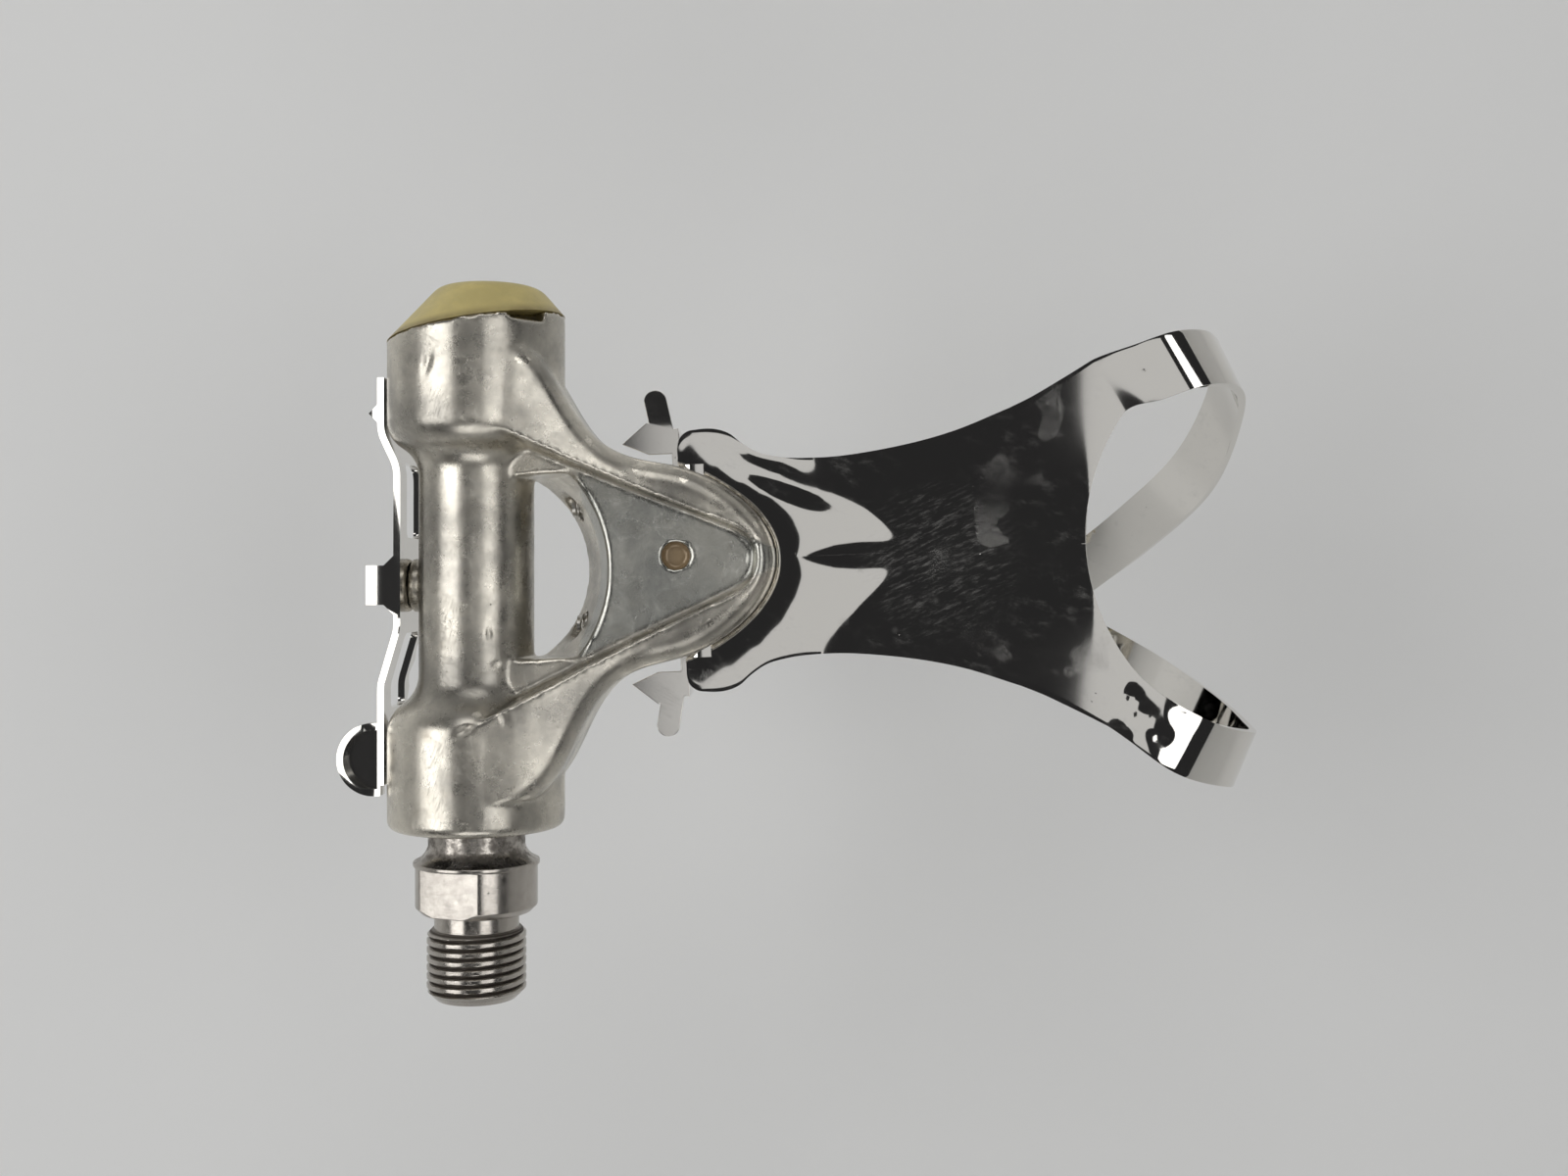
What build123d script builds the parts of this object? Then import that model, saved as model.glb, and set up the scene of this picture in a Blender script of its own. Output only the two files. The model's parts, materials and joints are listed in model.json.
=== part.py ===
from build123d import *

import math
import os

# Right-hand road pedal with a toe clip, underside up. Millimetres.
# The spindle lies along Y and its crank shoulder is at the origin. X points to the toe.
# The nose, the front plate and the clip are drawn in the nose frame, which is square to Z
# and leans a little outboard: x runs to the toe and y across the pedal.

# Fits
running_gap = 0.06
press_gap = 0.02
ball_gap = 0.04
part_gap = 0.35

# Spindle
thread_dia = 14.29
thread_len = 12.5
thread_chamfer = 1.3
relief_dia = 12.2
relief_len = 2.4
collar_dia = 17.6
collar_len = 6.8
collar_chamfer = 0.9
flats_across = 15.0
flats_turn = 22.0
rim_dia = 18.2
rim_len = 0.6
flare_len = 2.2
flare_radius = 3.1
neck_drop = 1.2
shaft_dia = 10.6
shaft_end_dia = 9.0
tip_dia = 8.0
key_width = 2.4
key_depth = 0.8

# Bearings
ball_dia = 3.97
ball_count = 10
inner_ball_y = 19.5
inner_cup_dia = 20.6
outer_ball_y = 75.5
outer_cup_dia = 18.8
cup_ball_inset = 5.4
cup_lip = 1.0
cup_floor = 3.3
cone_drop = 0.8
cone_len = 5.0
washer_drop = 0.6
washer_thick = 0.8
locknut_across = 11.0
locknut_len = 3.2
seal_len = 2.0
seal_inset = 0.6

# Barrel
barrel_start = 12.2
boss_dia = 25.5
boss_edge = 1.3
inner_boss_tail = 6.5
inner_blend_len = 8.5
outer_boss_lead = 4.5
outer_blend_len = 7.7
waist_dia = 16.6
bore_dia = 12.0
seam_past = 9.0
seam_angle = 9.6
notch_width = 6.2
notch_depth = 1.2
notch_reach = 2.4
notch_turn = 45.0

# Dust cap
cap_height = 6.1
cap_top_dia = 14.6
cap_top_x = 2.0
cap_round = 3.0
cap_wall = 1.6
spigot_len = 3.4
spigot_wall = 1.2

# Nose: its outline runs from an end sunk in the boss to the tip, half of it listed here
nose_y = 49.6
nose_lean = 2.4
arm_half = 32.5
arm_sink = 3.8
arm_run = 4.7
arm_hollow = ((16.2, 21.4), (19.3, 17.6), (23.2, 15.4))
shoulder = (30.4, 13.7)
nose_side = (38.0, 9.6)
nose_corner = (42.4, 4.6)
tip_x = 43.7
web_low = -7.5
tongue_low = 1.6
crest_back = -3.0
crest_sink = 0.15
crest_knee = (22.0, 6.6)
crest_end = 5.3
flank_round = 3.4
pocket_depth = 2.2
pocket_half = 20.4
pocket_root = 7.0
pocket_shoulder = (37.7, 4.4)
pocket_taper = 9.0
blind_hole_dia = 4.0
blind_hole_depth = 0.7
blind_hole_x = 29.3
blind_hole_out = 0.8
seat_x = 28.8

# Window
window_front = 15.3
window_half = 13.1
window_arc = 15.2
window_corner = 3.0
window_taper = 20.0

# Clip screws
screw_dia = 4.0
screw_half = 8.95
screw_z = -4.2
screw_tail_x = 13.9
slot_width = 0.8
slot_depth = 0.8
nut_across = 7.0
nut_len = 3.2
plain_washer_dia = 7.6
plain_washer_thick = 0.8
screw_proud = 1.2

# Front plate
front_thick = 1.2
front_half = 20.0
front_low = -14.0
front_high = -0.6
front_end_high = -5.0
tooth_pitch = 4.0
tooth_depth = 1.3
lug_plan = ((21.4, 17.9), (25.2, 21.0), (29.4, 19.4), (29.4, 16.2), (25.4, 16.2))
ear_root = (27.7, 18.5)
ear_lean = 11.0
ear_len = 5.8
ear_width = 3.4

# Toe clip
clip_thick = 1.2
clip_top = 1.4
flange_half = 14.0
flange_low = -9.5
wing_half = 19.0
wing_end = 37.0
wing_round = 2.4
wing_neck = (40.6, 16.0)
clip_waist_half = 14.25
fork_rise = 10.0
fork_start = 50.0
arm_width = 8.7
arm_heading = 28.0
arm_bury = 2.0
arm_inset = 0.12
fork_arm_x = 42.0
fork_arm_half = 21.9
fork_notch_x = 38.1
loop_z = -54.0
loop_rear = 78.0
loop_apex = (96.5, 43.5)
loop_gap = 4.6
loop_mouth = 11.8
loop_outboard_dir = (0.68, 0.73)
loop_inboard_dir = (0.83, -0.56)
fork_side = (20.0, 16.9)
# Arm stations between the fork and the loop: centre, then the way across to the inner edge
outboard_stations = (
    ((101.0, 79.0, 8.2), (0.5, -0.86, 0.0)),
    ((109.0, 79.2, 1.0), (0.45, -0.89, 0.0)),
    ((112.2, 75.0, -11.0), (0.4, -0.91, 0.0)),
    ((111.2, 65.6, -26.3), (0.46, -0.83, 0.3)),
    ((104.0, 56.5, -40.0), (0.46, -0.83, 0.3)),
)
inboard_stations = (
    ((101.5, 25.0, 8.2), (0.5, 0.86, 0.0)),
    ((110.5, 22.3, 1.0), (0.42, 0.9, 0.0)),
    ((114.3, 22.4, -12.0), (0.35, 0.93, 0.0)),
    ((112.8, 26.2, -29.0), (0.45, 0.85, 0.25)),
    ((106.0, 32.5, -43.5), (0.5, 0.83, 0.2)),
)

# Rear plate
rear_thick = 1.0
rear_stand = 2.3
rear_boss_gap = 0.2
rear_low = -13.0
rear_high = 2.5
rear_start = 18.5
rear_inner_lead = 7.0
rear_inner_run = 8.0
rear_outer_lead = 1.5
rear_outer_run = 5.0
rear_bend_radius = 6.0
rear_end = 77.4
tab_y = 47.4
tab_width = 5.7
tab_reach = 4.1
tab_flare = 1.4
tab_lip = 1.6
tab_drop = 0.55
strap_slot_low = -10.0
strap_slot_high = -1.6
strap_slot_len = 11.0
strap_slot_out = 12.5
tongue_y = 22.2
tongue_width = 10.6
tongue_reach = 6.9
tongue_dish = 1.6
tooth_y = 72.2
tooth_width = 3.5
rear_screw_dia = 4.0
rear_screw_z = -5.2
rear_boss_dia = 8.0
rear_screw_len = 4.8
rear_head_dia = 7.0
rear_head_len = 2.2

os.makedirs("parts", exist_ok=True)

inner_ball_circle = inner_cup_dia - cup_ball_inset
outer_ball_circle = outer_cup_dia - cup_ball_inset
neck_dia = inner_ball_circle - neck_drop
cone_dia = outer_ball_circle - cone_drop
washer_dia = cone_dia - washer_drop
seam_y = outer_ball_y + seam_past
inner_boss_end = inner_ball_y + inner_boss_tail
waist_start = inner_boss_end + inner_blend_len
outer_boss_start = outer_ball_y - outer_boss_lead
waist_end = outer_boss_start - outer_blend_len
crest_high = boss_dia / 2 - crest_sink
rear_x = -waist_dia / 2 - rear_stand
rear_end_x = -boss_dia / 2 - rear_boss_gap
ball_r = ball_dia / 2
race_r = ball_r + ball_gap
lean = math.radians(nose_lean)
nose_axis = Vector(math.cos(lean), math.sin(lean), 0)
nose_across = Vector(-math.sin(lean), math.cos(lean), 0)
nose_frame = Plane(origin=(0, nose_y, 0), x_dir=nose_axis, z_dir=(0, 0, 1))
nose_side_plane = Plane(origin=(0, nose_y, 0), x_dir=nose_axis, z_dir=-nose_across)
far = 60.0


def across_plane(x: float) -> Plane:
    """Plane across the nose at x, with y across and z up in its own coordinates."""
    origin = nose_frame.from_local_coords((x, 0, 0))
    return Plane(origin=origin, x_dir=nose_across, z_dir=nose_axis)


def ring(inner_dia: float, outer_dia: float, start: float, end: float) -> None:
    """Turned ring about the spindle, added to the open part."""
    with BuildSketch(Plane.XY) as section:
        with Locations(((inner_dia + outer_dia) / 4, (start + end) / 2)):
            Rectangle((outer_dia - inner_dia) / 2, end - start)
    revolve(section.sketch, axis=Axis.Y)


def race(circle_dia: float, y: float) -> None:
    """Ball track about the spindle, cut from the open part."""
    with BuildSketch(Plane.XY) as section:
        with Locations((circle_dia / 2, y)):
            Circle(race_r)
    revolve(section.sketch, axis=Axis.Y, mode=Mode.SUBTRACT)


inner_cup_end = inner_ball_y + cup_floor
outer_cup_start = outer_ball_y - cup_floor
cone_start = outer_ball_y + ball_gap
cone_end = cone_start + cone_len
washer_end = cone_end + washer_thick
locknut_end = washer_end + locknut_len
rim_start = collar_len
rim_end = rim_start + rim_len
neck_start = rim_end + flare_len
tip_start_y = outer_cup_start
pocket_low = crest_end - pocket_depth
seam_turn = math.radians(seam_angle)
seam_normal = Vector(-math.sin(seam_turn), math.cos(seam_turn), 0)
seam_plane = Plane(origin=(0, seam_y, 0), x_dir=(0, 0, 1), z_dir=seam_normal)
clip_x = seat_x + front_thick
flange_end = clip_x + clip_thick

# Spindle: thread, relief, flatted collar, neck with its own bearing cone, shaft and tip
with BuildPart() as spindle:
    with BuildSketch(Plane.XY):
        with BuildLine():
            Polyline(
                (0, locknut_end),
                (0, -thread_len),
                (thread_dia / 2 - thread_chamfer, -thread_len),
                (thread_dia / 2, thread_chamfer - thread_len),
                (thread_dia / 2, -relief_len),
                (relief_dia / 2, -relief_len),
                (relief_dia / 2, 0),
                (collar_dia / 2 - collar_chamfer, 0),
                (collar_dia / 2, collar_chamfer),
                (collar_dia / 2, rim_start),
                (rim_dia / 2, rim_start),
                (rim_dia / 2, rim_end),
            )
            RadiusArc((rim_dia / 2, rim_end), (neck_dia / 2, neck_start), flare_radius)
            Polyline(
                (neck_dia / 2, neck_start),
                (neck_dia / 2, inner_ball_y),
                (shaft_dia / 2, inner_ball_y),
                (shaft_end_dia / 2, tip_start_y),
                (tip_dia / 2, tip_start_y),
                (tip_dia / 2, locknut_end),
                (0, locknut_end),
            )
        make_face()
    revolve(axis=Axis.Y)
    race(inner_ball_circle, inner_ball_y)
    flat_plane = Plane.XZ.rotated((0, -flats_turn, 0))
    with BuildSketch(flat_plane):
        for side in (-1, 1):
            with Locations((0, side * (flats_across + collar_dia) / 2)):
                Rectangle(2 * collar_dia, collar_dia)
    extrude(amount=-collar_len, mode=Mode.SUBTRACT)
    with BuildSketch(Plane.XZ.offset(-cone_end)):
        with Locations((0, tip_dia / 2)):
            Rectangle(key_width, 2 * key_depth)
    extrude(amount=-locknut_len - washer_thick, mode=Mode.SUBTRACT)
spindle.part.label = "spindle"
export_step(spindle.part, "parts/spindle.step")

# Inner bearing cup, pressed into the crank end of the body
with BuildPart() as inner_cup:
    ring(bore_dia, inner_cup_dia - 2 * press_gap, inner_ball_y - cup_lip, inner_cup_end)
    with BuildSketch(Plane.XY):
        with Locations((0, inner_ball_y - cup_lip)):
            Rectangle(inner_ball_circle / 2 + race_r, cup_lip, align=(Align.MIN, Align.MIN))
    revolve(axis=Axis.Y, mode=Mode.SUBTRACT)
    race(inner_ball_circle, inner_ball_y)
inner_cup.part.label = "inner_bearing_cup"
export_step(inner_cup.part, "parts/inner_bearing_cup.step")

# Outer bearing cup, pressed into the cap end of the body
with BuildPart() as outer_cup:
    ring(bore_dia, outer_cup_dia - 2 * press_gap, outer_cup_start, outer_ball_y + cup_lip)
    with BuildSketch(Plane.XY):
        with Locations((0, outer_ball_y)):
            Rectangle(outer_ball_circle / 2 + race_r, cup_lip, align=(Align.MIN, Align.MIN))
    revolve(axis=Axis.Y, mode=Mode.SUBTRACT)
    race(outer_ball_circle, outer_ball_y)
outer_cup.part.label = "outer_bearing_cup"
export_step(outer_cup.part, "parts/outer_bearing_cup.step")

# Bearing balls, one node each
for row, circle_dia, row_y in (
    ("inner", inner_ball_circle, inner_ball_y),
    ("outer", outer_ball_circle, outer_ball_y),
):
    for number in range(ball_count):
        turn = 2 * math.pi * number / ball_count
        ball_centre = (circle_dia / 2 * math.cos(turn), row_y, circle_dia / 2 * math.sin(turn))
        with BuildPart(Plane(origin=ball_centre)) as ball:
            Sphere(ball_r)
        ball.part.label = f"{row}_ball_{number + 1}"
        export_step(ball.part, f"parts/{row}_ball_{number + 1}.step")

# Dust seal round the neck
with BuildPart() as dust_seal:
    ring(
        neck_dia + 2 * running_gap,
        inner_cup_dia - 2 * press_gap,
        barrel_start + seal_inset,
        barrel_start + seal_inset + seal_len,
    )
dust_seal.part.label = "dust_seal"
export_step(dust_seal.part, "parts/dust_seal.step")

# Outer cone on the spindle tip
with BuildPart() as outer_cone:
    ring(tip_dia + 2 * press_gap, cone_dia, cone_start, cone_end)
    race(outer_ball_circle, outer_ball_y)
outer_cone.part.label = "outer_cone"
export_step(outer_cone.part, "parts/outer_cone.step")

# Keyed washer and locknut
with BuildPart() as lock_washer:
    ring(tip_dia + 2 * press_gap, washer_dia, cone_end, washer_end)
    with BuildSketch(Plane.XZ.offset(-cone_end)):
        with Locations((0, tip_dia / 2)):
            Rectangle(key_width - 2 * running_gap, 2 * (key_depth - running_gap))
    extrude(amount=-washer_thick)
lock_washer.part.label = "lock_washer"
export_step(lock_washer.part, "parts/lock_washer.step")

with BuildPart() as locknut:
    with BuildSketch(Plane.XZ.offset(-washer_end)):
        RegularPolygon(locknut_across / 2, 6, major_radius=False)
        Circle(tip_dia / 2 + press_gap, mode=Mode.SUBTRACT)
    extrude(amount=-locknut_len)
locknut.part.label = "locknut"
export_step(locknut.part, "parts/locknut.step")

# Pocket and window that hollow the arms and the nose
with BuildPart() as pocket:
    with BuildSketch(nose_frame.offset(pocket_low)):
        with BuildLine():
            pocket_side = Line((0, pocket_half), pocket_shoulder)
            pocket_far = (pocket_shoulder[0], -pocket_shoulder[1])
            TangentArc(pocket_shoulder, pocket_far, tangent=pocket_side % 1)
            Polyline(pocket_far, (0, -pocket_half), (0, pocket_half))
        make_face()
    extrude(amount=crest_high, taper=-pocket_taper)
    with BuildSketch(nose_side_plane):
        with BuildLine():
            Polyline(
                (crest_back, pocket_root),
                (crest_knee[0], crest_knee[1] - pocket_depth),
                (far, pocket_low),
                (far, far),
                (crest_back, far),
                (crest_back, pocket_root),
            )
        make_face()
    extrude(amount=far, both=True, mode=Mode.INTERSECT)

with BuildPart() as window:
    with BuildSketch(nose_frame.offset(web_low)):
        with Locations((window_front - window_arc, 0)):
            Circle(window_arc)
    extrude(amount=crest_high - web_low, taper=-window_taper)
    with BuildSketch(nose_frame.offset(web_low)):
        RectangleRounded(far, 2 * window_half, window_corner)
    extrude(amount=far, mode=Mode.INTERSECT)

# Arms and nose as one forged shape, rounded over its crest
arm_root = ((boss_dia / 2 - arm_sink, arm_half), (boss_dia / 2, arm_half - arm_run))
half_outline = (*arm_root, *arm_hollow, shoulder, nose_side, nose_corner)
mirrored_outline = [(x, -y) for x, y in reversed(half_outline)]
with BuildPart() as delta:
    with BuildSketch(nose_frame.offset(web_low)):
        with BuildLine():
            Spline(*half_outline, (tip_x, 0), *mirrored_outline)
            Polyline(mirrored_outline[-1], (0, -arm_half), (0, arm_half), half_outline[0])
        make_face()
    extrude(amount=far)
    with BuildSketch(nose_side_plane):
        with BuildLine():
            Spline(
                (crest_back, crest_high),
                crest_knee,
                (tip_x, crest_end),
                tangents=((1, 0), (1, 0)),
            )
            Polyline(
                (tip_x, crest_end),
                (far, crest_end),
                (far, tongue_low),
                (seat_x, tongue_low),
                (seat_x, web_low),
                (crest_back, web_low),
                (crest_back, crest_high),
            )
        make_face()
    extrude(amount=far, both=True, mode=Mode.INTERSECT)
    fillet(delta.edges().filter_by(GeomType.BSPLINE).sort_by(SortBy.LENGTH)[-1], flank_round)
    add(pocket.part, mode=Mode.SUBTRACT)
    add(window.part, mode=Mode.SUBTRACT)
    with BuildSketch(across_plane(0)):
        with Locations((-screw_half, screw_z), (screw_half, screw_z)):
            Circle(screw_dia / 2 + running_gap)
    extrude(amount=far, mode=Mode.SUBTRACT)
    with BuildSketch(nose_frame.offset(pocket_low - blind_hole_depth)):
        with Locations((blind_hole_x, blind_hole_out)):
            Circle(blind_hole_dia / 2)
    extrude(amount=far, mode=Mode.SUBTRACT)

# Pedal body: barrel with two bearing bosses, the nose and the boss of the rear plate
with BuildPart() as pedal_body:
    with BuildSketch(Plane.XY):
        with BuildLine():
            Polyline(
                (0, seam_y + boss_dia),
                (0, barrel_start),
                (boss_dia / 2 - boss_edge, barrel_start),
            )
            boss_corner = (boss_dia / 2 - boss_edge, barrel_start)
            TangentArc(boss_corner, (boss_dia / 2, barrel_start + boss_edge), tangent=(1, 0))
            Line((boss_dia / 2, barrel_start + boss_edge), (boss_dia / 2, inner_boss_end))
            inner_blend = ((boss_dia + waist_dia) / 4, (inner_boss_end + waist_start) / 2)
            TangentArc((boss_dia / 2, inner_boss_end), inner_blend, tangent=(0, 1))
            TangentArc((waist_dia / 2, waist_start), inner_blend, tangent=(0, -1))
            Line((waist_dia / 2, waist_start), (waist_dia / 2, waist_end))
            outer_blend = ((boss_dia + waist_dia) / 4, (outer_boss_start + waist_end) / 2)
            TangentArc((waist_dia / 2, waist_end), outer_blend, tangent=(0, 1))
            TangentArc((boss_dia / 2, outer_boss_start), outer_blend, tangent=(0, -1))
            Polyline(
                (boss_dia / 2, outer_boss_start),
                (boss_dia / 2, seam_y + boss_dia),
                (0, seam_y + boss_dia),
            )
        make_face()
    revolve(axis=Axis.Y)
    add(delta.part)
    split(bisect_by=seam_plane, keep=Keep.BOTTOM)
    with BuildSketch(Plane.YZ.offset(rear_x)):
        with Locations((tab_y, rear_screw_z)):
            Circle(rear_boss_dia / 2)
    extrude(amount=-rear_x)
    with BuildSketch(Plane.XY):
        with BuildLine():
            Polyline(
                (0, 0),
                (inner_cup_dia / 2, 0),
                (inner_cup_dia / 2, inner_cup_end),
                (bore_dia / 2, inner_cup_end),
                (bore_dia / 2, outer_cup_start),
                (outer_cup_dia / 2, outer_cup_start),
                (outer_cup_dia / 2, seam_y + boss_dia),
                (0, seam_y + boss_dia),
                (0, 0),
            )
        make_face()
    revolve(axis=Axis.Y, mode=Mode.SUBTRACT)
    with BuildSketch(Plane.YZ.offset(rear_x)):
        with Locations((tab_y, rear_screw_z)):
            Circle(rear_screw_dia / 2 + running_gap)
    extrude(amount=rear_screw_len, mode=Mode.SUBTRACT)
    notch_angle = math.radians(notch_turn)
    notch_out = Vector(math.sin(notch_angle), 0, math.cos(notch_angle))
    notch_seam = seam_y + boss_dia / 2 * notch_out.X * math.tan(seam_turn)
    notch_plane = Plane(
        origin=notch_out * (boss_dia / 2) + Vector(0, notch_seam, 0),
        x_dir=(0, 1, 0),
        z_dir=notch_out,
    )
    with BuildSketch(notch_plane):
        Rectangle(2 * notch_depth, notch_width)
    extrude(amount=notch_reach, both=True, mode=Mode.SUBTRACT)
pedal_body.part.label = "pedal_body"
export_step(pedal_body.part, "parts/pedal_body.step")

# Dust cap: slanted dome with a spigot in the bore
cap_top_plane = Plane(origin=(cap_top_x, seam_y + cap_height, 0), x_dir=(0, 0, 1), z_dir=(0, 1, 0))
with BuildPart() as dust_cap:
    with BuildSketch(seam_plane):
        Ellipse(boss_dia / 2, boss_dia / 2 / math.cos(seam_turn))
    with BuildSketch(cap_top_plane):
        Circle(cap_top_dia / 2)
    loft()
    fillet(dust_cap.faces().sort_by(Axis.Y)[-1].edges(), cap_round)
    with BuildSketch(Plane.XZ.offset(spigot_len - seam_y)):
        Circle(outer_cup_dia / 2 - press_gap)
    extrude(amount=-spigot_len - cap_wall)
    with BuildSketch(Plane.XZ.offset(spigot_len - seam_y)):
        Circle(outer_cup_dia / 2 - spigot_wall)
    extrude(amount=-spigot_len - cap_wall, mode=Mode.SUBTRACT)
dust_cap.part.label = "dust_cap"
export_step(dust_cap.part, "parts/dust_cap.step")

# Clip screws: headless, slotted at the tail, with a washer and a nut in front of the clip
for number, side in enumerate((-1, 1), start=1):
    with BuildPart() as clip_screw:
        with BuildSketch(across_plane(screw_tail_x)):
            with Locations((side * screw_half, screw_z)):
                Circle(screw_dia / 2)
        extrude(amount=flange_end + plain_washer_thick + nut_len + screw_proud - screw_tail_x)
        with BuildSketch(across_plane(screw_tail_x)):
            with Locations((side * screw_half, screw_z)):
                Rectangle(2 * screw_dia, slot_width)
        extrude(amount=slot_depth, mode=Mode.SUBTRACT)
    clip_screw.part.label = f"clip_screw_{number}"
    export_step(clip_screw.part, f"parts/clip_screw_{number}.step")
    with BuildPart() as plain_washer:
        with BuildSketch(across_plane(flange_end)):
            with Locations((side * screw_half, screw_z)):
                Circle(plain_washer_dia / 2)
                Circle(screw_dia / 2 + part_gap, mode=Mode.SUBTRACT)
        extrude(amount=plain_washer_thick)
    plain_washer.part.label = f"clip_washer_{number}"
    export_step(plain_washer.part, f"parts/clip_washer_{number}.step")
    with BuildPart() as clip_nut:
        with BuildSketch(across_plane(flange_end + plain_washer_thick)):
            with Locations((side * screw_half, screw_z)):
                RegularPolygon(nut_across / 2, 6, major_radius=False)
                Circle(screw_dia / 2 + running_gap, mode=Mode.SUBTRACT)
        extrude(amount=nut_len)
    clip_nut.part.label = f"clip_nut_{number}"
    export_step(clip_nut.part, f"parts/clip_nut_{number}.step")

# Front plate: straight toothed wall on the seat of the nose, with a bent lug at each end
with BuildPart() as front_plate:
    with BuildSketch(across_plane(seat_x)):
        with Locations((0, (front_low + front_end_high) / 2)):
            Rectangle(2 * front_half, front_end_high - front_low)
        with Locations((0, (front_low + front_high) / 2)):
            Rectangle(2 * flange_half, front_high - front_low)
        with GridLocations(tooth_pitch, tooth_pitch, int(2 * front_half / tooth_pitch), 1):
            Polygon(
                (-tooth_pitch / 2, front_low),
                (tooth_pitch / 2, front_low),
                (0, front_low + tooth_depth),
                align=None,
                mode=Mode.SUBTRACT,
            )
        with Locations((-screw_half, screw_z), (screw_half, screw_z)):
            Circle(screw_dia / 2 + part_gap, mode=Mode.SUBTRACT)
    extrude(amount=front_thick)
    ear_turn = math.radians(ear_lean)
    with BuildSketch(nose_frame.offset(front_end_high)):
        for side in (-1, 1):
            Polygon(*[(x, side * y) for x, y in lug_plan], align=None)
            ear_start = Vector(ear_root[0], side * ear_root[1])
            ear_end = ear_start + Vector(-math.sin(ear_turn), side * math.cos(ear_turn)) * ear_len
            ear_half = Vector(math.cos(ear_turn), side * math.sin(ear_turn)) * ear_width / 2
            ear_plan = (ear_start - ear_half, ear_start + ear_half, ear_end + ear_half, ear_end - ear_half)
            Polygon(*[(corner.X, corner.Y) for corner in ear_plan], align=None)
            with Locations((ear_end.X, ear_end.Y)):
                Circle(ear_width / 2)
    extrude(amount=-front_thick)
front_plate.part.label = "front_plate"
export_step(front_plate.part, "parts/front_plate.step")

# Toe clip: flanged base, rising fork, two bent arms and the strap loop
clip_mid = clip_top - clip_thick / 2
rise = math.radians(fork_rise)
fork_dir = nose_axis * math.cos(rise) + Vector(0, 0, math.sin(rise))
fork_origin = nose_frame.from_local_coords((fork_start, 0, clip_mid))
fork_frame = Plane(origin=fork_origin, x_dir=fork_dir, z_dir=fork_dir.cross(nose_across))
heading = math.radians(arm_heading)
half_arm = arm_width / 2
arm_inner = (fork_arm_x + half_arm * math.sin(heading), fork_arm_half - half_arm * math.cos(heading))
arm_outer = (fork_arm_x - half_arm * math.sin(heading), fork_arm_half + half_arm * math.cos(heading))
loop_outboard = Vector(*loop_outboard_dir).normalized()
loop_inboard = Vector(*loop_inboard_dir).normalized()
loop_front = Vector(*loop_apex)
outboard_end = loop_front + loop_outboard.cross(Vector(0, 0, -1)) * arm_width
inboard_end = loop_front - loop_inboard.cross(Vector(0, 0, -1)) * arm_width
loop_low = loop_z - clip_thick / 2

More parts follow.
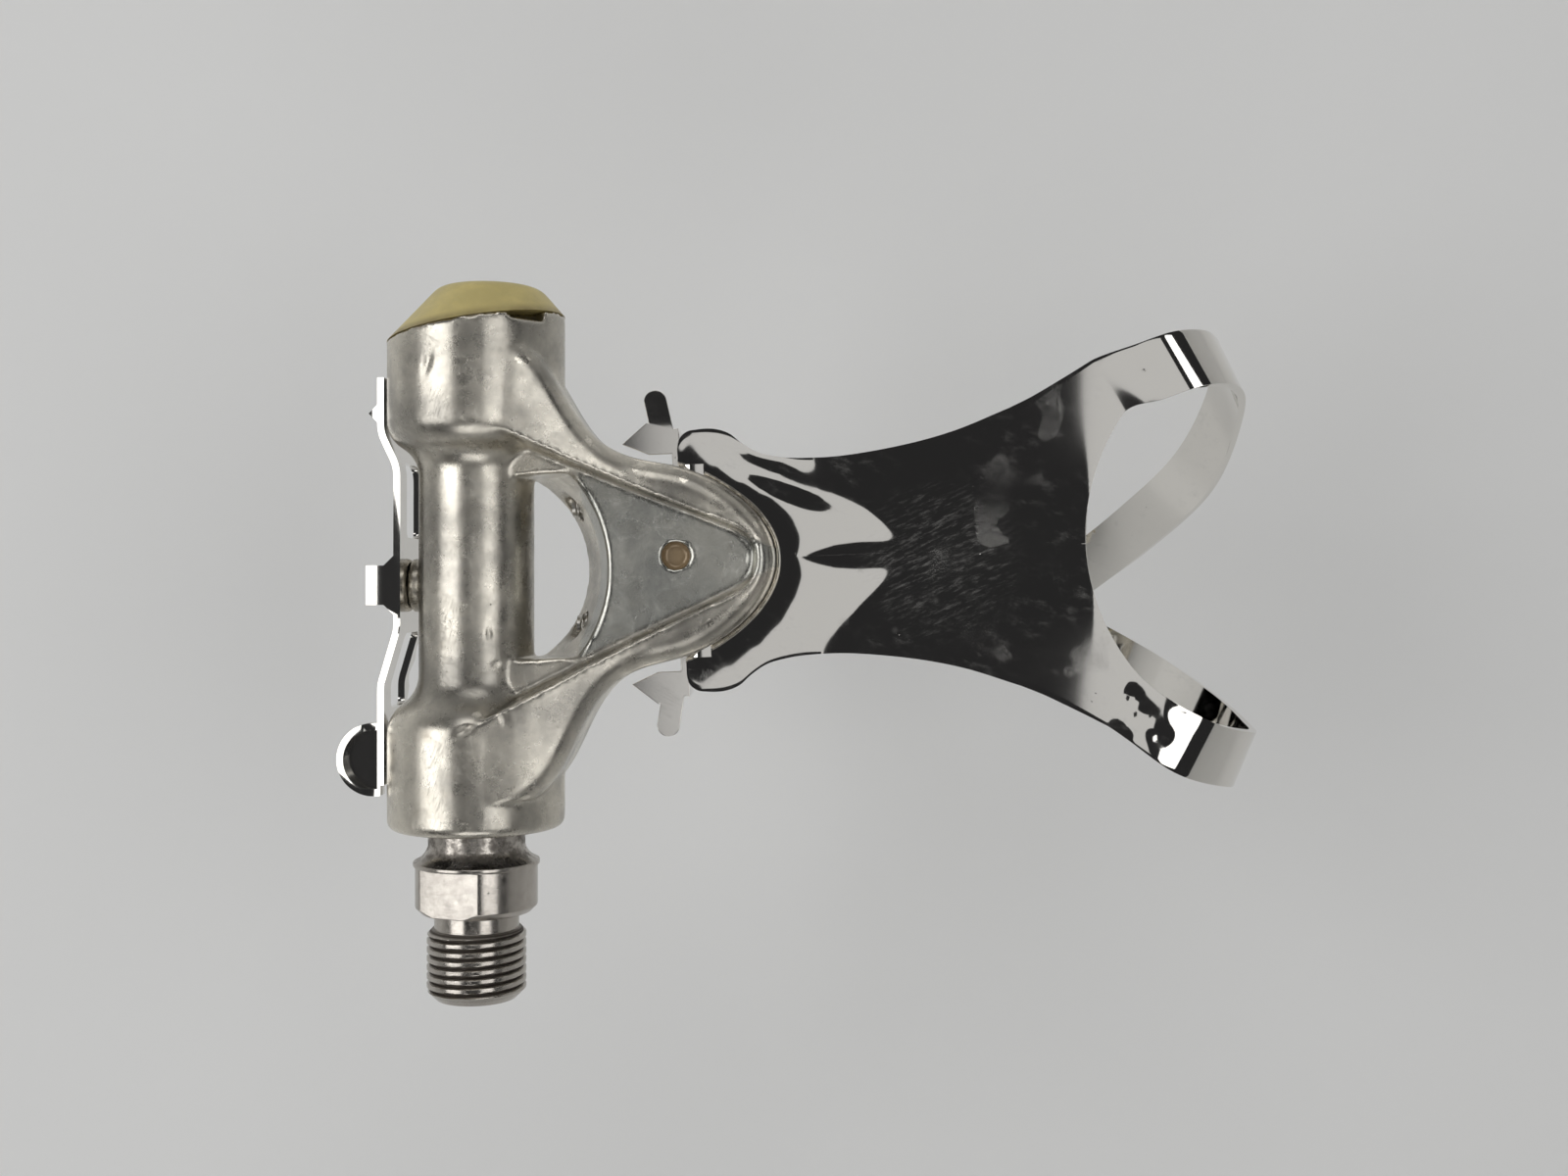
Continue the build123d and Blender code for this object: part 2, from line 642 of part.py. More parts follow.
with BuildPart() as toe_clip:
    with BuildSketch(nose_frame.offset(clip_top - clip_thick)) as base_plan:
        with BuildLine():
            Polyline((clip_x, -wing_half), (clip_x, wing_half), (wing_end, wing_half))
            ThreePointArc((wing_end, wing_half), wing_neck, (fork_start + clip_thick, clip_waist_half))
            Line((fork_start + clip_thick, clip_waist_half), (fork_start + clip_thick, -clip_waist_half))
            ThreePointArc(
                (fork_start + clip_thick, -clip_waist_half),
                (wing_neck[0], -wing_neck[1]),
                (wing_end, -wing_half),
            )
            Line((wing_end, -wing_half), (clip_x, -wing_half))
        make_face()
        fillet(base_plan.vertices().sort_by(Axis.X)[:4], wing_round)
    extrude(amount=clip_thick)
    with BuildSketch(across_plane(clip_x)):
        with Locations((0, (clip_top + flange_low) / 2)):
            Rectangle(2 * flange_half, clip_top - flange_low)
        with Locations((-screw_half, screw_z), (screw_half, screw_z)):
            Circle(screw_dia / 2 + part_gap, mode=Mode.SUBTRACT)
    extrude(amount=clip_thick)
    with BuildSketch(fork_frame):
        with BuildLine():
            Line((0, -clip_waist_half), (0, clip_waist_half))
            Spline(
                (0, clip_waist_half),
                fork_side,
                arm_outer,
                tangents=((1, 0), (math.cos(heading), math.sin(heading))),
            )
            Line(arm_outer, arm_inner)
            ThreePointArc(arm_inner, (fork_notch_x, 0), (arm_inner[0], -arm_inner[1]))
            Line((arm_inner[0], -arm_inner[1]), (arm_outer[0], -arm_outer[1]))
            Spline(
                (arm_outer[0], -arm_outer[1]),
                (fork_side[0], -fork_side[1]),
                (0, -clip_waist_half),
                tangents=((-math.cos(heading), math.sin(heading)), (-1, 0)),
            )
        make_face()
    extrude(amount=clip_thick / 2, both=True)
    with BuildSketch(Plane.XY.offset(loop_low)):
        Polygon(
            (loop_rear, inboard_end.Y),
            (inboard_end.X, inboard_end.Y),
            (loop_front.X, loop_front.Y),
            (outboard_end.X, outboard_end.Y),
            (loop_rear, outboard_end.Y),
            align=None,
        )
    extrude(amount=clip_thick)
    with BuildSketch(Plane.XZ.offset(-inboard_end.Y - part_gap)):
        with Locations((loop_rear + loop_mouth / 2 + clip_thick, loop_low - loop_gap / 2)):
            Rectangle(loop_mouth + 2 * clip_thick, loop_gap + 2 * clip_thick)
            Rectangle(loop_mouth, loop_gap, mode=Mode.SUBTRACT)
    extrude(amount=inboard_end.Y - outboard_end.Y + 2 * part_gap)
    for side, middles, loop_dir, loop_corner in (
        (1, outboard_stations, loop_outboard, outboard_end),
        (-1, inboard_stations, loop_inboard, inboard_end),
    ):
        start = fork_frame.from_local_coords((fork_arm_x, side * fork_arm_half, 0))
        start_dir = fork_frame.x_dir * math.cos(heading) + fork_frame.y_dir * side * math.sin(heading)
        start_width = fork_frame.x_dir * math.sin(heading) - fork_frame.y_dir * side * math.cos(heading)
        end = (loop_front + loop_corner) * 0.5
        end = Vector(end.X, end.Y, loop_z)
        stations = [(start - start_dir * arm_bury, start_width)]
        stations += [(Vector(*centre), Vector(*width)) for centre, width in middles]
        stations += [(end - loop_dir * arm_bury, loop_front - loop_corner)]
        centres = [centre for centre, _ in stations]
        chords = [after - before for before, after in zip(centres, centres[2:])]
        insets = [arm_inset] + [0] * len(middles) + [arm_inset]
        for (centre, width), along, inset in zip(stations, [start_dir, *chords, -loop_dir], insets):
            along = along.normalized()
            with BuildSketch(Plane(origin=centre, x_dir=width - along * width.dot(along), z_dir=along)):
                Rectangle(arm_width - inset, clip_thick - inset)
        loft()
toe_clip.part.label = "toe_clip"
export_step(toe_clip.part, "parts/toe_clip.step")

# Rear plate: toothed wall behind the barrel with strap slots, a flip tab and a dished tongue
rear_mid = rear_x - rear_thick / 2
rear_end_mid = rear_end_x - rear_thick / 2
rear_inner_bend = inner_boss_end + rear_inner_lead
rear_outer_bend = outer_boss_start - rear_outer_lead
tab_side = tab_width / 2
tab_foot = rear_x - rear_thick - tab_flare
tab_end_x = rear_x - rear_thick - tab_reach
with BuildPart() as rear_plate:
    with BuildSketch(Plane.XY.offset(rear_low)):
        with BuildLine():
            FilletPolyline(
                (rear_end_mid, rear_start),
                (rear_end_mid, rear_inner_bend),
                (rear_mid, rear_inner_bend + rear_inner_run),
                (rear_mid, rear_outer_bend - rear_outer_run),
                (rear_end_mid, rear_outer_bend),
                (rear_end_mid, rear_end),
                radius=rear_bend_radius,
            )
        trace(line_width=rear_thick)
    extrude(amount=rear_high - rear_low)
    with BuildSketch(Plane.YZ):
        with Locations((tab_y, rear_screw_z)):
            Circle(rear_screw_dia / 2 + part_gap)
        for side in (-1, 1):
            with Locations((tab_y + side * strap_slot_out, (strap_slot_low + strap_slot_high) / 2)):
                RectangleRounded(strap_slot_len, strap_slot_high - strap_slot_low, rear_thick)
        with Locations(((rear_start + rear_end) / 2, 0)):
            with GridLocations(tooth_pitch, tooth_pitch, int((rear_end - rear_start) / tooth_pitch), 1):
                Polygon(
                    (-tooth_pitch / 2, rear_low),
                    (tooth_pitch / 2, rear_low),
                    (0, rear_low + tooth_depth),
                    align=None,
                )
    extrude(amount=-far, mode=Mode.SUBTRACT)
    with BuildSketch(Plane.XY.offset(rear_high)):
        Polygon(
            (rear_x, tab_y - tab_side - tab_flare),
            (rear_x - rear_thick, tab_y - tab_side - tab_flare),
            (tab_foot, tab_y - tab_side),
            (tab_end_x, tab_y - tab_side),
            (tab_end_x, tab_y + tab_side),
            (tab_foot, tab_y + tab_side),
            (rear_x - rear_thick, tab_y + tab_side + tab_flare),
            (rear_x, tab_y + tab_side + tab_flare),
            align=None,
        )
        Polygon(
            (rear_end_mid, tooth_y - tooth_width / 2),
            (rear_end_mid, tooth_y + tooth_width / 2),
            (rear_end_mid - tooth_width / 2, tooth_y),
            align=None,
        )
    extrude(amount=-rear_thick)
    with BuildSketch(Plane.XZ.offset(-tab_y - tab_side)):
        Polygon(
            (tab_end_x, rear_high),
            (tab_end_x + tab_lip, rear_high),
            (tab_end_x, rear_high - tab_drop),
            align=None,
        )
    extrude(amount=tab_width, mode=Mode.SUBTRACT)
    tongue_round = tongue_width / 2
    tongue_x = rear_end_x - tongue_reach + tongue_round
    with BuildSketch(Plane.XY.offset(rear_high)):
        with Locations((tongue_x, tongue_y)):
            Circle(tongue_round)
        with Locations((rear_end_mid, tongue_y)):
            Rectangle(far, 2 * tongue_width, align=(Align.MIN, Align.CENTER), mode=Mode.SUBTRACT)
    extrude(amount=-tongue_dish - rear_thick)
    with BuildSketch(Plane.XY.offset(rear_high)):
        with Locations((tongue_x, tongue_y)):
            Circle(tongue_round - rear_thick)
        with Locations((rear_end_x - rear_thick, tongue_y)):
            Rectangle(far, 2 * tongue_width, align=(Align.MIN, Align.CENTER), mode=Mode.SUBTRACT)
    extrude(amount=-tongue_dish, mode=Mode.SUBTRACT)
rear_plate.part.label = "rear_plate"
export_step(rear_plate.part, "parts/rear_plate.step")

# Rear plate screw, slotted
with BuildPart() as rear_screw:
    with BuildSketch(Plane.YZ.offset(rear_x - rear_thick)):
        with Locations((tab_y, rear_screw_z)):
            Circle(rear_screw_dia / 2)
    extrude(amount=rear_screw_len)
    with BuildSketch(Plane.YZ.offset(rear_x - rear_thick)):
        with Locations((tab_y, rear_screw_z)):
            Circle(rear_head_dia / 2)
    extrude(amount=-rear_head_len)
    with BuildSketch(Plane.YZ.offset(rear_x - rear_thick - rear_head_len)):
        with Locations((tab_y, rear_screw_z)):
            Rectangle(2 * rear_head_dia, slot_width)
    extrude(amount=slot_depth, mode=Mode.SUBTRACT)
rear_screw.part.label = "rear_plate_screw"
export_step(rear_screw.part, "parts/rear_plate_screw.step")
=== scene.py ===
"""Looks of a road pedal with a toe clip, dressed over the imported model, seen from its underside."""

import json
import logging
import math
from dataclasses import dataclass, field
from enum import Enum
from typing import Any, Callable, Sequence, Union

import bmesh
import bpy
import numpy as np
from mathutils import Matrix, Vector


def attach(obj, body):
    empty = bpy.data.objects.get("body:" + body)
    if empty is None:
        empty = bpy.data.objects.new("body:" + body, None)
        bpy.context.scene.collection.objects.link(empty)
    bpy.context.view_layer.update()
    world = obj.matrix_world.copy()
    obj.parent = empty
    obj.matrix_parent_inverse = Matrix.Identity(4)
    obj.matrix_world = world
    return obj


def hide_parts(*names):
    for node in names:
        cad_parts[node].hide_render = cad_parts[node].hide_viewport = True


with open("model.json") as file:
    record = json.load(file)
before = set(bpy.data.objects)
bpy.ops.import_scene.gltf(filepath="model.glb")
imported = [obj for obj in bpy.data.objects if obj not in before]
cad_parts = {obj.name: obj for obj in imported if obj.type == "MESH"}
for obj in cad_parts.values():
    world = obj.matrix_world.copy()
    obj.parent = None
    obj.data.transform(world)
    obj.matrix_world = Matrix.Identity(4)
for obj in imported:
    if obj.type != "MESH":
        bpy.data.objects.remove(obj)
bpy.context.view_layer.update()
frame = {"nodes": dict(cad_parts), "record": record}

LOG = logging.getLogger("pedal")
MM = 0.001
CORNER_WELD = 1e-7
TURN_WELD = 1e-6
SHEET_WELD = 1e-5
FLAT_ANGLE = math.radians(0.4)
EDGE_ANGLE = math.radians(38)
NORMAL_WEIGHT = 90

Colour = tuple[float, float, float]
Number = Union[float, "Wire"]


class Slot(str, Enum):
    """Material slots of the record."""

    BODY = "body_alloy"
    SPINDLE = "spindle_steel"
    BEARING = "bearing_steel"
    SCREW = "screw_steel"
    PLATE = "plate_chrome"
    CLIP = "clip_chrome"
    CAP = "cap_plastic"
    SEAL = "seal_rubber"


class Body(str, Enum):
    """Bodies that pieces ride on."""

    SPINDLE = "spindle_group"
    PEDAL = "pedal"


@dataclass(frozen=True)
class NoseFrame:
    """Frame of the nose and the clip: square to Z, leaning a little outboard."""

    y: float = 49.6
    lean: float = 2.4

    def point(self, x: float, y: float, z: float) -> Vector:
        """Turns a point of the nose frame into the pedal's frame.

        Args:
            x: way along the nose's axis, in millimetres.
            y: way across it.
            z: height.

        Returns:
            The point, in millimetres.
        """
        turn = math.radians(self.lean)
        across = self.y + x * math.sin(turn) + y * math.cos(turn)
        return Vector((x * math.cos(turn) - y * math.sin(turn), across, z))

    def axis(self) -> Vector:
        """Returns the way to the toe."""
        return self.point(1, 0, 0) - self.point(0, 0, 0)


NOSE = NoseFrame()


@dataclass(frozen=True)
class Wire:
    """A value in a node tree; the operators add the Math nodes of an expression."""

    nodes: "Nodes"
    socket: bpy.types.NodeSocket

    def math(self, operation: str, *values: Number) -> "Wire":
        """Returns a Math node of the values, in order."""
        return self.nodes.node("ShaderNodeMath", {"operation": operation}, dict(enumerate(values)))

    def __add__(self, other: Number) -> "Wire":
        """Returns self + other."""
        return self.math("ADD", self, other)

    __radd__ = __add__

    def __sub__(self, other: Number) -> "Wire":
        """Returns self - other."""
        return self.math("SUBTRACT", self, other)

    def __rsub__(self, other: Number) -> "Wire":
        """Returns other - self."""
        return self.math("SUBTRACT", other, self)

    def __mul__(self, other: Number) -> "Wire":
        """Returns self * other."""
        return self.math("MULTIPLY", self, other)

    __rmul__ = __mul__

    def __truediv__(self, other: Number) -> "Wire":
        """Returns self / other."""
        return self.math("DIVIDE", self, other)

    def step(self, low: float, high: float) -> "Wire":
        """Adds a smooth step.

        Args:
            low: value at which the step is 0; above high the step falls.
            high: value at which the step is 1.

        Returns:
            The step, from 0 to 1.
        """
        sockets = {"Value": self, "From Min": low, "From Max": high}
        return self.nodes.node("ShaderNodeMapRange", {"interpolation_type": "SMOOTHSTEP"}, sockets)


@dataclass(frozen=True)
class Nodes:
    """A node tree that is written to."""

    tree: bpy.types.NodeTree

    def node(self, kind: str, settings: dict[str, Any], sockets: dict[Any, Any], out: Any = 0) -> Wire:
        """Adds a node.

        Args:
            kind: the node's type.
            settings: its properties, set before its sockets.
            sockets: input name or number to a value or a wire.
            out: name or number of the output to go on with.

        Returns:
            The chosen output.
        """
        made = self.tree.nodes.new(kind)
        for key, value in settings.items():
            setattr(made, key, value)
        for key, value in sockets.items():
            if isinstance(value, Wire):
                self.tree.links.new(value.socket, made.inputs[key])
            else:
                made.inputs[key].default_value = value
        return Wire(self, made.outputs[out])


class Surface(Nodes):
    """Shader of one finish, with its patterns in millimetres on Object coordinates."""

    def place(self, scale: Colour = (1.0, 1.0, 1.0), turn: Colour = (0.0, 0.0, 0.0)) -> Wire:
        """Makes the coordinates of a pattern.

        Args:
            scale: stretch along the axes.
            turn: turn of the axes in degrees, before the stretch.

        Returns:
            The coordinates, in millimetres.
        """
        seat = self.node("ShaderNodeTexCoord", {}, {}, "Object")
        angles = tuple(math.radians(a) for a in turn)
        turned = self.node("ShaderNodeMapping", {}, {"Vector": seat, "Rotation": angles})
        stretch = tuple(s / MM for s in scale)
        return self.node("ShaderNodeVectorMath", {"operation": "MULTIPLY"}, {0: turned, 1: stretch})

    def noise(self, size: float, detail: float = 4.0, rough: float = 0.55, seed: float = 0.0) -> Wire:
        """Returns noise with features of the size in millimetres."""
        return self.grain((size, size, size), detail=detail, rough=rough, seed=seed)

    def grain(
        self,
        size: Colour,
        turn: Colour = (0.0, 0.0, 0.0),
        detail: float = 3.0,
        rough: float = 0.55,
        seed: float = 0.0,
    ) -> Wire:
        """Makes noise drawn out along the axes.

        Args:
            size: feature sizes along the axes, in millimetres.
            turn: turn of the axes, in degrees.
            detail: octaves.
            rough: weight of the small octaves.
            seed: which of the patterns.

        Returns:
            The noise, about 0.5 on average.
        """
        where = self.place(tuple(1 / s for s in size), turn)
        sockets = {"Vector": where, "W": seed, "Scale": 1.0, "Detail": detail, "Roughness": rough}
        return self.node("ShaderNodeTexNoise", {"noise_dimensions": "4D"}, sockets, 0)

    def specks(self, pitch: float, radius: float, seed: Colour = (0.0, 0.0, 0.0)) -> Wire:
        """Makes round specks, one in each cell.

        Args:
            pitch: size of a cell in millimetres.
            radius: radius of a speck in millimetres.
            seed: shift of the pattern.

        Returns:
            1 in the middle of a speck, 0 beside it.
        """
        where = self.node("ShaderNodeVectorMath", {"operation": "ADD"}, {0: self.place(), 1: seed})
        cell = self.node("ShaderNodeTexVoronoi", {}, {"Vector": where, "Scale": 1 / pitch}, "Distance")
        return cell.step(radius / pitch, 0.2 * radius / pitch)

    def scratches(self, turn: Colour, width: float, length: float, share: float, seed: float) -> Wire:
        """Makes fine lines.

        Args:
            turn: turn of the lines, in degrees.
            width: width in millimetres.
            length: length in millimetres.
            share: how much of the surface is scratched, from 0 to 1.
            seed: which of the patterns.

        Returns:
            1 on a line, 0 beside it.
        """
        lines = self.grain((length, width, width), turn, detail=1.0, seed=seed)
        band = (lines - 0.5).math("ABSOLUTE", lines - 0.5)
        patch = self.noise(length, 2.0, seed=seed + 7.0).step(1.0 - share, 1.1 - share)
        return band.step(0.012, 0.002) * patch

    def blend(self, factor: Number, low: Any, high: Any) -> Wire:
        """Mixes two colours.

        Args:
            factor: 0 for the first colour, 1 for the second.
            low: the first colour, or a wire.
            high: the second colour, or a wire.

        Returns:
            The mixed colour.
        """
        settings = {"data_type": "RGBA"}
        sockets = {0: factor, 6: self.tint(low), 7: self.tint(high)}
        return self.node("ShaderNodeMix", settings, sockets, 2)

    @staticmethod
    def tint(value: Any) -> Any:
        """Returns a colour with its alpha, or the wire as it is."""
        return value if isinstance(value, Wire) else (*value, 1.0)

    def axis(self) -> tuple[Wire, Wire, Wire]:
        """Splits the coordinates.

        Returns:
            X, Y and Z, in millimetres.
        """
        split = self.node("ShaderNodeSeparateXYZ", {}, {0: self.place()})
        outs = split.socket.node.outputs
        return tuple(Wire(self, outs[n]) for n in range(3))

    def edges(self) -> Wire:
        """Returns how far the surface turns outwards, about 0.5 where it is flat."""
        return self.node("ShaderNodeNewGeometry", {}, {}, "Pointiness")

    def bump(self, height: Wire, depth: float) -> Wire:
        """Returns a normal from heights of the depth in millimetres."""
        sockets = {"Height": height, "Distance": depth * MM, "Strength": 1.0}
        return self.node("ShaderNodeBump", {}, sockets)


@dataclass(frozen=True)
class Finish:
    """A finish: its colour, how metallic it is and how rough."""

    name: str
    slot: Slot
    colour: Colour
    roughness: float
    metallic: float = 1.0
    coat: float = 0.0
    coat_rough: float = 0.25

    def material(self) -> bpy.types.Material:
        """Makes the finish's material.

        Returns:
            The material, with the pattern's wires on its shader.
        """
        made = bpy.data.materials.new(self.name)
        made.use_nodes = True
        tree = made.node_tree
        shader = tree.nodes["Principled BSDF"]
        shader.inputs["Metallic"].default_value = self.metallic
        shader.inputs["Coat Weight"].default_value = self.coat
        shader.inputs["Coat Roughness"].default_value = self.coat_rough
        surface = Surface(tree)
        for key, value in self.pattern(surface).items():
            tree.links.new(value.socket, shader.inputs[key])
        made.diffuse_color = (*self.colour, 1.0)
        return made

    def pattern(self, on: Surface) -> dict[str, Wire]:
        """Makes the nodes of what varies over the surface.

        Args:
            on: the surface to add them to.

        Returns:
            Wires by shader input.
        """
        tone = on.noise(6.0, 4.0)
        fine = on.noise(0.4, 2.0, seed=3.0)
        dark = tuple(0.72 * c for c in self.colour)
        return {
            "Base Color": on.blend(tone.step(0.3, 0.7), dark, self.colour),
            "Roughness": self.roughness + (tone - 0.5) * 0.25 + (fine - 0.5) * 0.1,
            "Normal": on.bump(fine, 0.01),
        }


@dataclass(frozen=True)
class WornAlloy(Finish):
    """Forged aluminium, polished once and since dulled, with dirt and painted shade darkening its
    corners.
    """

    shade: Colour = (0.31, 0.295, 0.265)
    # Near-black for the pits, and for dirt and painted shade in the hollows.
    grime_and_painted_shade: Colour = (0.04, 0.032, 0.024)
    bright: Colour = (0.86, 0.81, 0.71)
    stained: Colour = (0.25, 0.20, 0.135)
    cool: Colour = (0.32, 0.335, 0.32)
    soil: Colour = (0.30, 0.22, 0.13)
    hole: tuple[float, float] = (29.2, 51.63)
    hole_radius: float = 2.0
    hole_top: float = 4.0
    pocket_half: float = 20.2
    pocket_slope: float = 0.424
    pocket_from: float = 15.0

    def pattern(self, on: Surface) -> dict[str, Wire]:
        """Makes the nodes of what varies over the surface.

        Args:
            on: the surface to add them to.

        Returns:
            Wires by shader input.
        """
        cloud = on.noise(14.0, 5.0, 0.6)
        blotch = on.noise(2.6, 6.0, 0.68, seed=2.0)
        fine = on.noise(0.22, 2.0, seed=4.0)
        edge = on.edges()
        worn = edge.step(0.51, 0.56)
        # Hollows (low pointiness) get darker: part dirt, part painted shade.
        hollow_dirt_and_shade = edge.step(0.48, 0.43)
        pits = on.specks(1.9, 0.16) * on.noise(5.0, 2.0, seed=9.0).step(0.5, 0.62)
        lines = on.scratches((10.0, 20.0, 35.0), 0.10, 9.0, 0.55, 1.0)
        lines = lines + on.scratches((0.0, 15.0, 110.0), 0.08, 7.0, 0.5, 5.0)
        colour = on.blend(cloud.step(0.34, 0.66), self.shade, self.colour)
        colour = on.blend(blotch.step(0.5, 0.75) * 0.45, colour, self.shade)
        colour = on.blend(worn * 0.7, colour, self.bright)
        colour = on.blend(lines * 0.5, colour, self.bright)
        floor, pit = self.pocket(on)
        pits = pits * (1.0 - floor)
        # Mix of the darkened hollows (dirt and painted shade) with the real pits.
        hollow_dirt_shade_and_pits = (hollow_dirt_and_shade * blotch.step(0.3, 0.6)).math("MAXIMUM", hollow_dirt_and_shade * 0.4, pits)
        colour = on.blend(hollow_dirt_shade_and_pits * 0.85, colour, self.grime_and_painted_shade)
        smear = on.noise(8.0, 6.0, 0.7, seed=15.0).step(0.54, 0.74) * blotch.step(0.35, 0.65)
        colour = on.blend(smear * 0.45, colour, self.stained)
        colour = on.blend(floor * 0.6, colour, self.cool)
        colour = on.blend(pit, colour, self.soil)
        rough = self.roughness + (blotch - 0.5) * 0.3 + hollow_dirt_shade_and_pits * 0.3 - worn * 0.12 - floor * 0.05
        height = blotch * 0.5 + fine * 0.2 - pits * 0.5 - lines * 0.5
        metal = 1.0 - hollow_dirt_shade_and_pits * 0.3 - pit * 0.75
        return {
            "Base Color": colour,
            "Metallic": metal,
            "Roughness": rough,
            "Normal": on.bump(height, 0.05),
        }

    def pocket(self, on: Surface) -> tuple[Wire, Wire]:
        """Finds the nose's pocket and the blind hole in it.

        Args:
            on: the surface to add the nodes to.

        Returns:
            1 on the pocket's floor, and 1 inside the hole.
        """
        x, y, z = on.axis()
        near = z.step(0.0, 1.0)
        off_x, off_y = x - self.hole[0], y - self.hole[1]
        gap = off_x * off_x + off_y * off_y
        gap = gap.math("SQRT", gap)
        pit = gap.step(self.hole_radius + 0.3, self.hole_radius)
        pit = pit * z.step(self.hole_top, self.hole_top - 0.5)
        lean = math.tan(math.radians(NOSE.lean))
        across = y - NOSE.y - x * lean
        inside = self.pocket_half - x * self.pocket_slope - across.math("ABSOLUTE", across)
        floor = inside.step(0.0, 0.8) * x.step(self.pocket_from, self.pocket_from + 1.0) * near
        return floor, pit * near


@dataclass(frozen=True)
class BrightChrome(Finish):
    """Chromed sheet with smudges, water spots and fine scratches."""

    smudge: Colour = (0.55, 0.55, 0.54)
    rust_brown: Colour = (0.07, 0.05, 0.04)
    scuffed: tuple[float, float] = (67.0, 51.0)
    scuff_reach: float = 13.0

    def pattern(self, on: Surface) -> dict[str, Wire]:
        """Makes the nodes of what varies over the surface.

        Args:
            on: the surface to add them to.

        Returns:
            Wires by shader input.
        """
        haze = on.grain((3.4, 1.7, 3.4), (0.0, 0.0, 18.0), 8.0, 0.72).step(0.5, 0.8)
        haze = haze * on.noise(15.0, 3.0, seed=14.0).step(0.42, 0.66)
        spots = on.specks(4.2, 0.7) * on.noise(9.0, 2.0, seed=3.0).step(0.52, 0.62) * 0.4
        rust = on.specks(2.2, 0.12, (3.0, 1.0, 2.0)) * on.noise(7.0, 2.0, seed=8.0).step(0.56, 0.66)
        lines = on.scratches((0.0, 0.0, 28.0), 0.07, 11.0, 0.4, 2.0)
        lines = lines + on.scratches((5.0, 8.0, 78.0), 0.06, 8.0, 0.4, 6.0)
        x, y, _ = on.axis()
        off_x, off_y = x - self.scuffed[0], y - self.scuffed[1]
        gap = off_x * off_x + off_y * off_y
        scuff = on.grain((2.4, 0.5, 2.4), (0.0, 0.0, -25.0), 6.0, 0.7, seed=21.0).step(0.48, 0.75)
        scuff = scuff * gap.step(self.scuff_reach * self.scuff_reach, 0.0)
        film = haze.math("MAXIMUM", haze * 0.8, spots)
        film = film.math("MAXIMUM", film, scuff)
        colour = on.blend(film * 0.4, self.colour, self.smudge)
        colour = on.blend(rust, colour, self.rust_brown)
        rough = self.roughness + film * 0.015 + lines * 0.03 + rust * 0.4
        wave = on.noise(18.0, 1.0, seed=12.0)
        height = wave * 0.3 - lines * 0.02 - rust * 0.2
        return {
            "Base Color": colour,
            "Metallic": 1.0 - film * 0.2 - lines * 0.06 - rust * 0.5,
            "Roughness": rough,
            "Normal": on.bump(height, 0.05),
        }


@dataclass(frozen=True)
class SpindleSteel(Finish):
    """Plated spindle steel with old grease in the thread and round the neck."""

    grease: Colour = (0.045, 0.034, 0.026)
    dull: Colour = (0.36, 0.33, 0.30)
    root: float = 6.7
    thread_foot: tuple[float, float] = (-11.9, -11.2)
    thread_head: tuple[float, float] = (-2.2, -2.6)
    neck: tuple[float, float] = (6.9, 8.6)

    def pattern(self, on: Surface) -> dict[str, Wire]:
        """Makes the nodes of what varies over the surface.

        Args:
            on: the surface to add them to.

        Returns:
            Wires by shader input.
        """
        across, along, up = on.axis()
        radius = (across * across + up * up).math("SQRT", across * across + up * up)
        blotch = on.noise(1.6, 6.0, 0.68)
        turned = on.grain((6.0, 0.12, 6.0), detail=2.0, seed=3.0)
        lines = on.scratches((0.0, 30.0, 50.0), 0.06, 4.0, 0.6, 4.0)
        thread = along.step(*self.thread_head) * along.step(*self.thread_foot)
        thread = thread * radius.step(self.root + 0.2, self.root - 0.1)
        neck = along.step(*self.neck) * blotch.step(0.4, 0.62)
        dirt = thread.math("MAXIMUM", thread * blotch.step(0.15, 0.4), neck * 0.7)
        specks = on.specks(1.3, 0.14) * on.noise(3.0, 2.0, seed=6.0).step(0.48, 0.6)
        dirt = dirt.math("MAXIMUM", dirt, specks)
        worn = on.blend(blotch.step(0.4, 0.7) * 0.5, self.colour, self.dull)
        colour = on.blend(dirt * 0.88, worn, self.grease)
        rough = self.roughness + (blotch - 0.5) * 0.25 + dirt * 0.4 + lines * 0.2
        height = turned * 0.3 + blotch * 0.3 - lines * 0.4 + dirt * 0.2
        return {"Base Color": colour, "Roughness": rough, "Normal": on.bump(height, 0.03)}


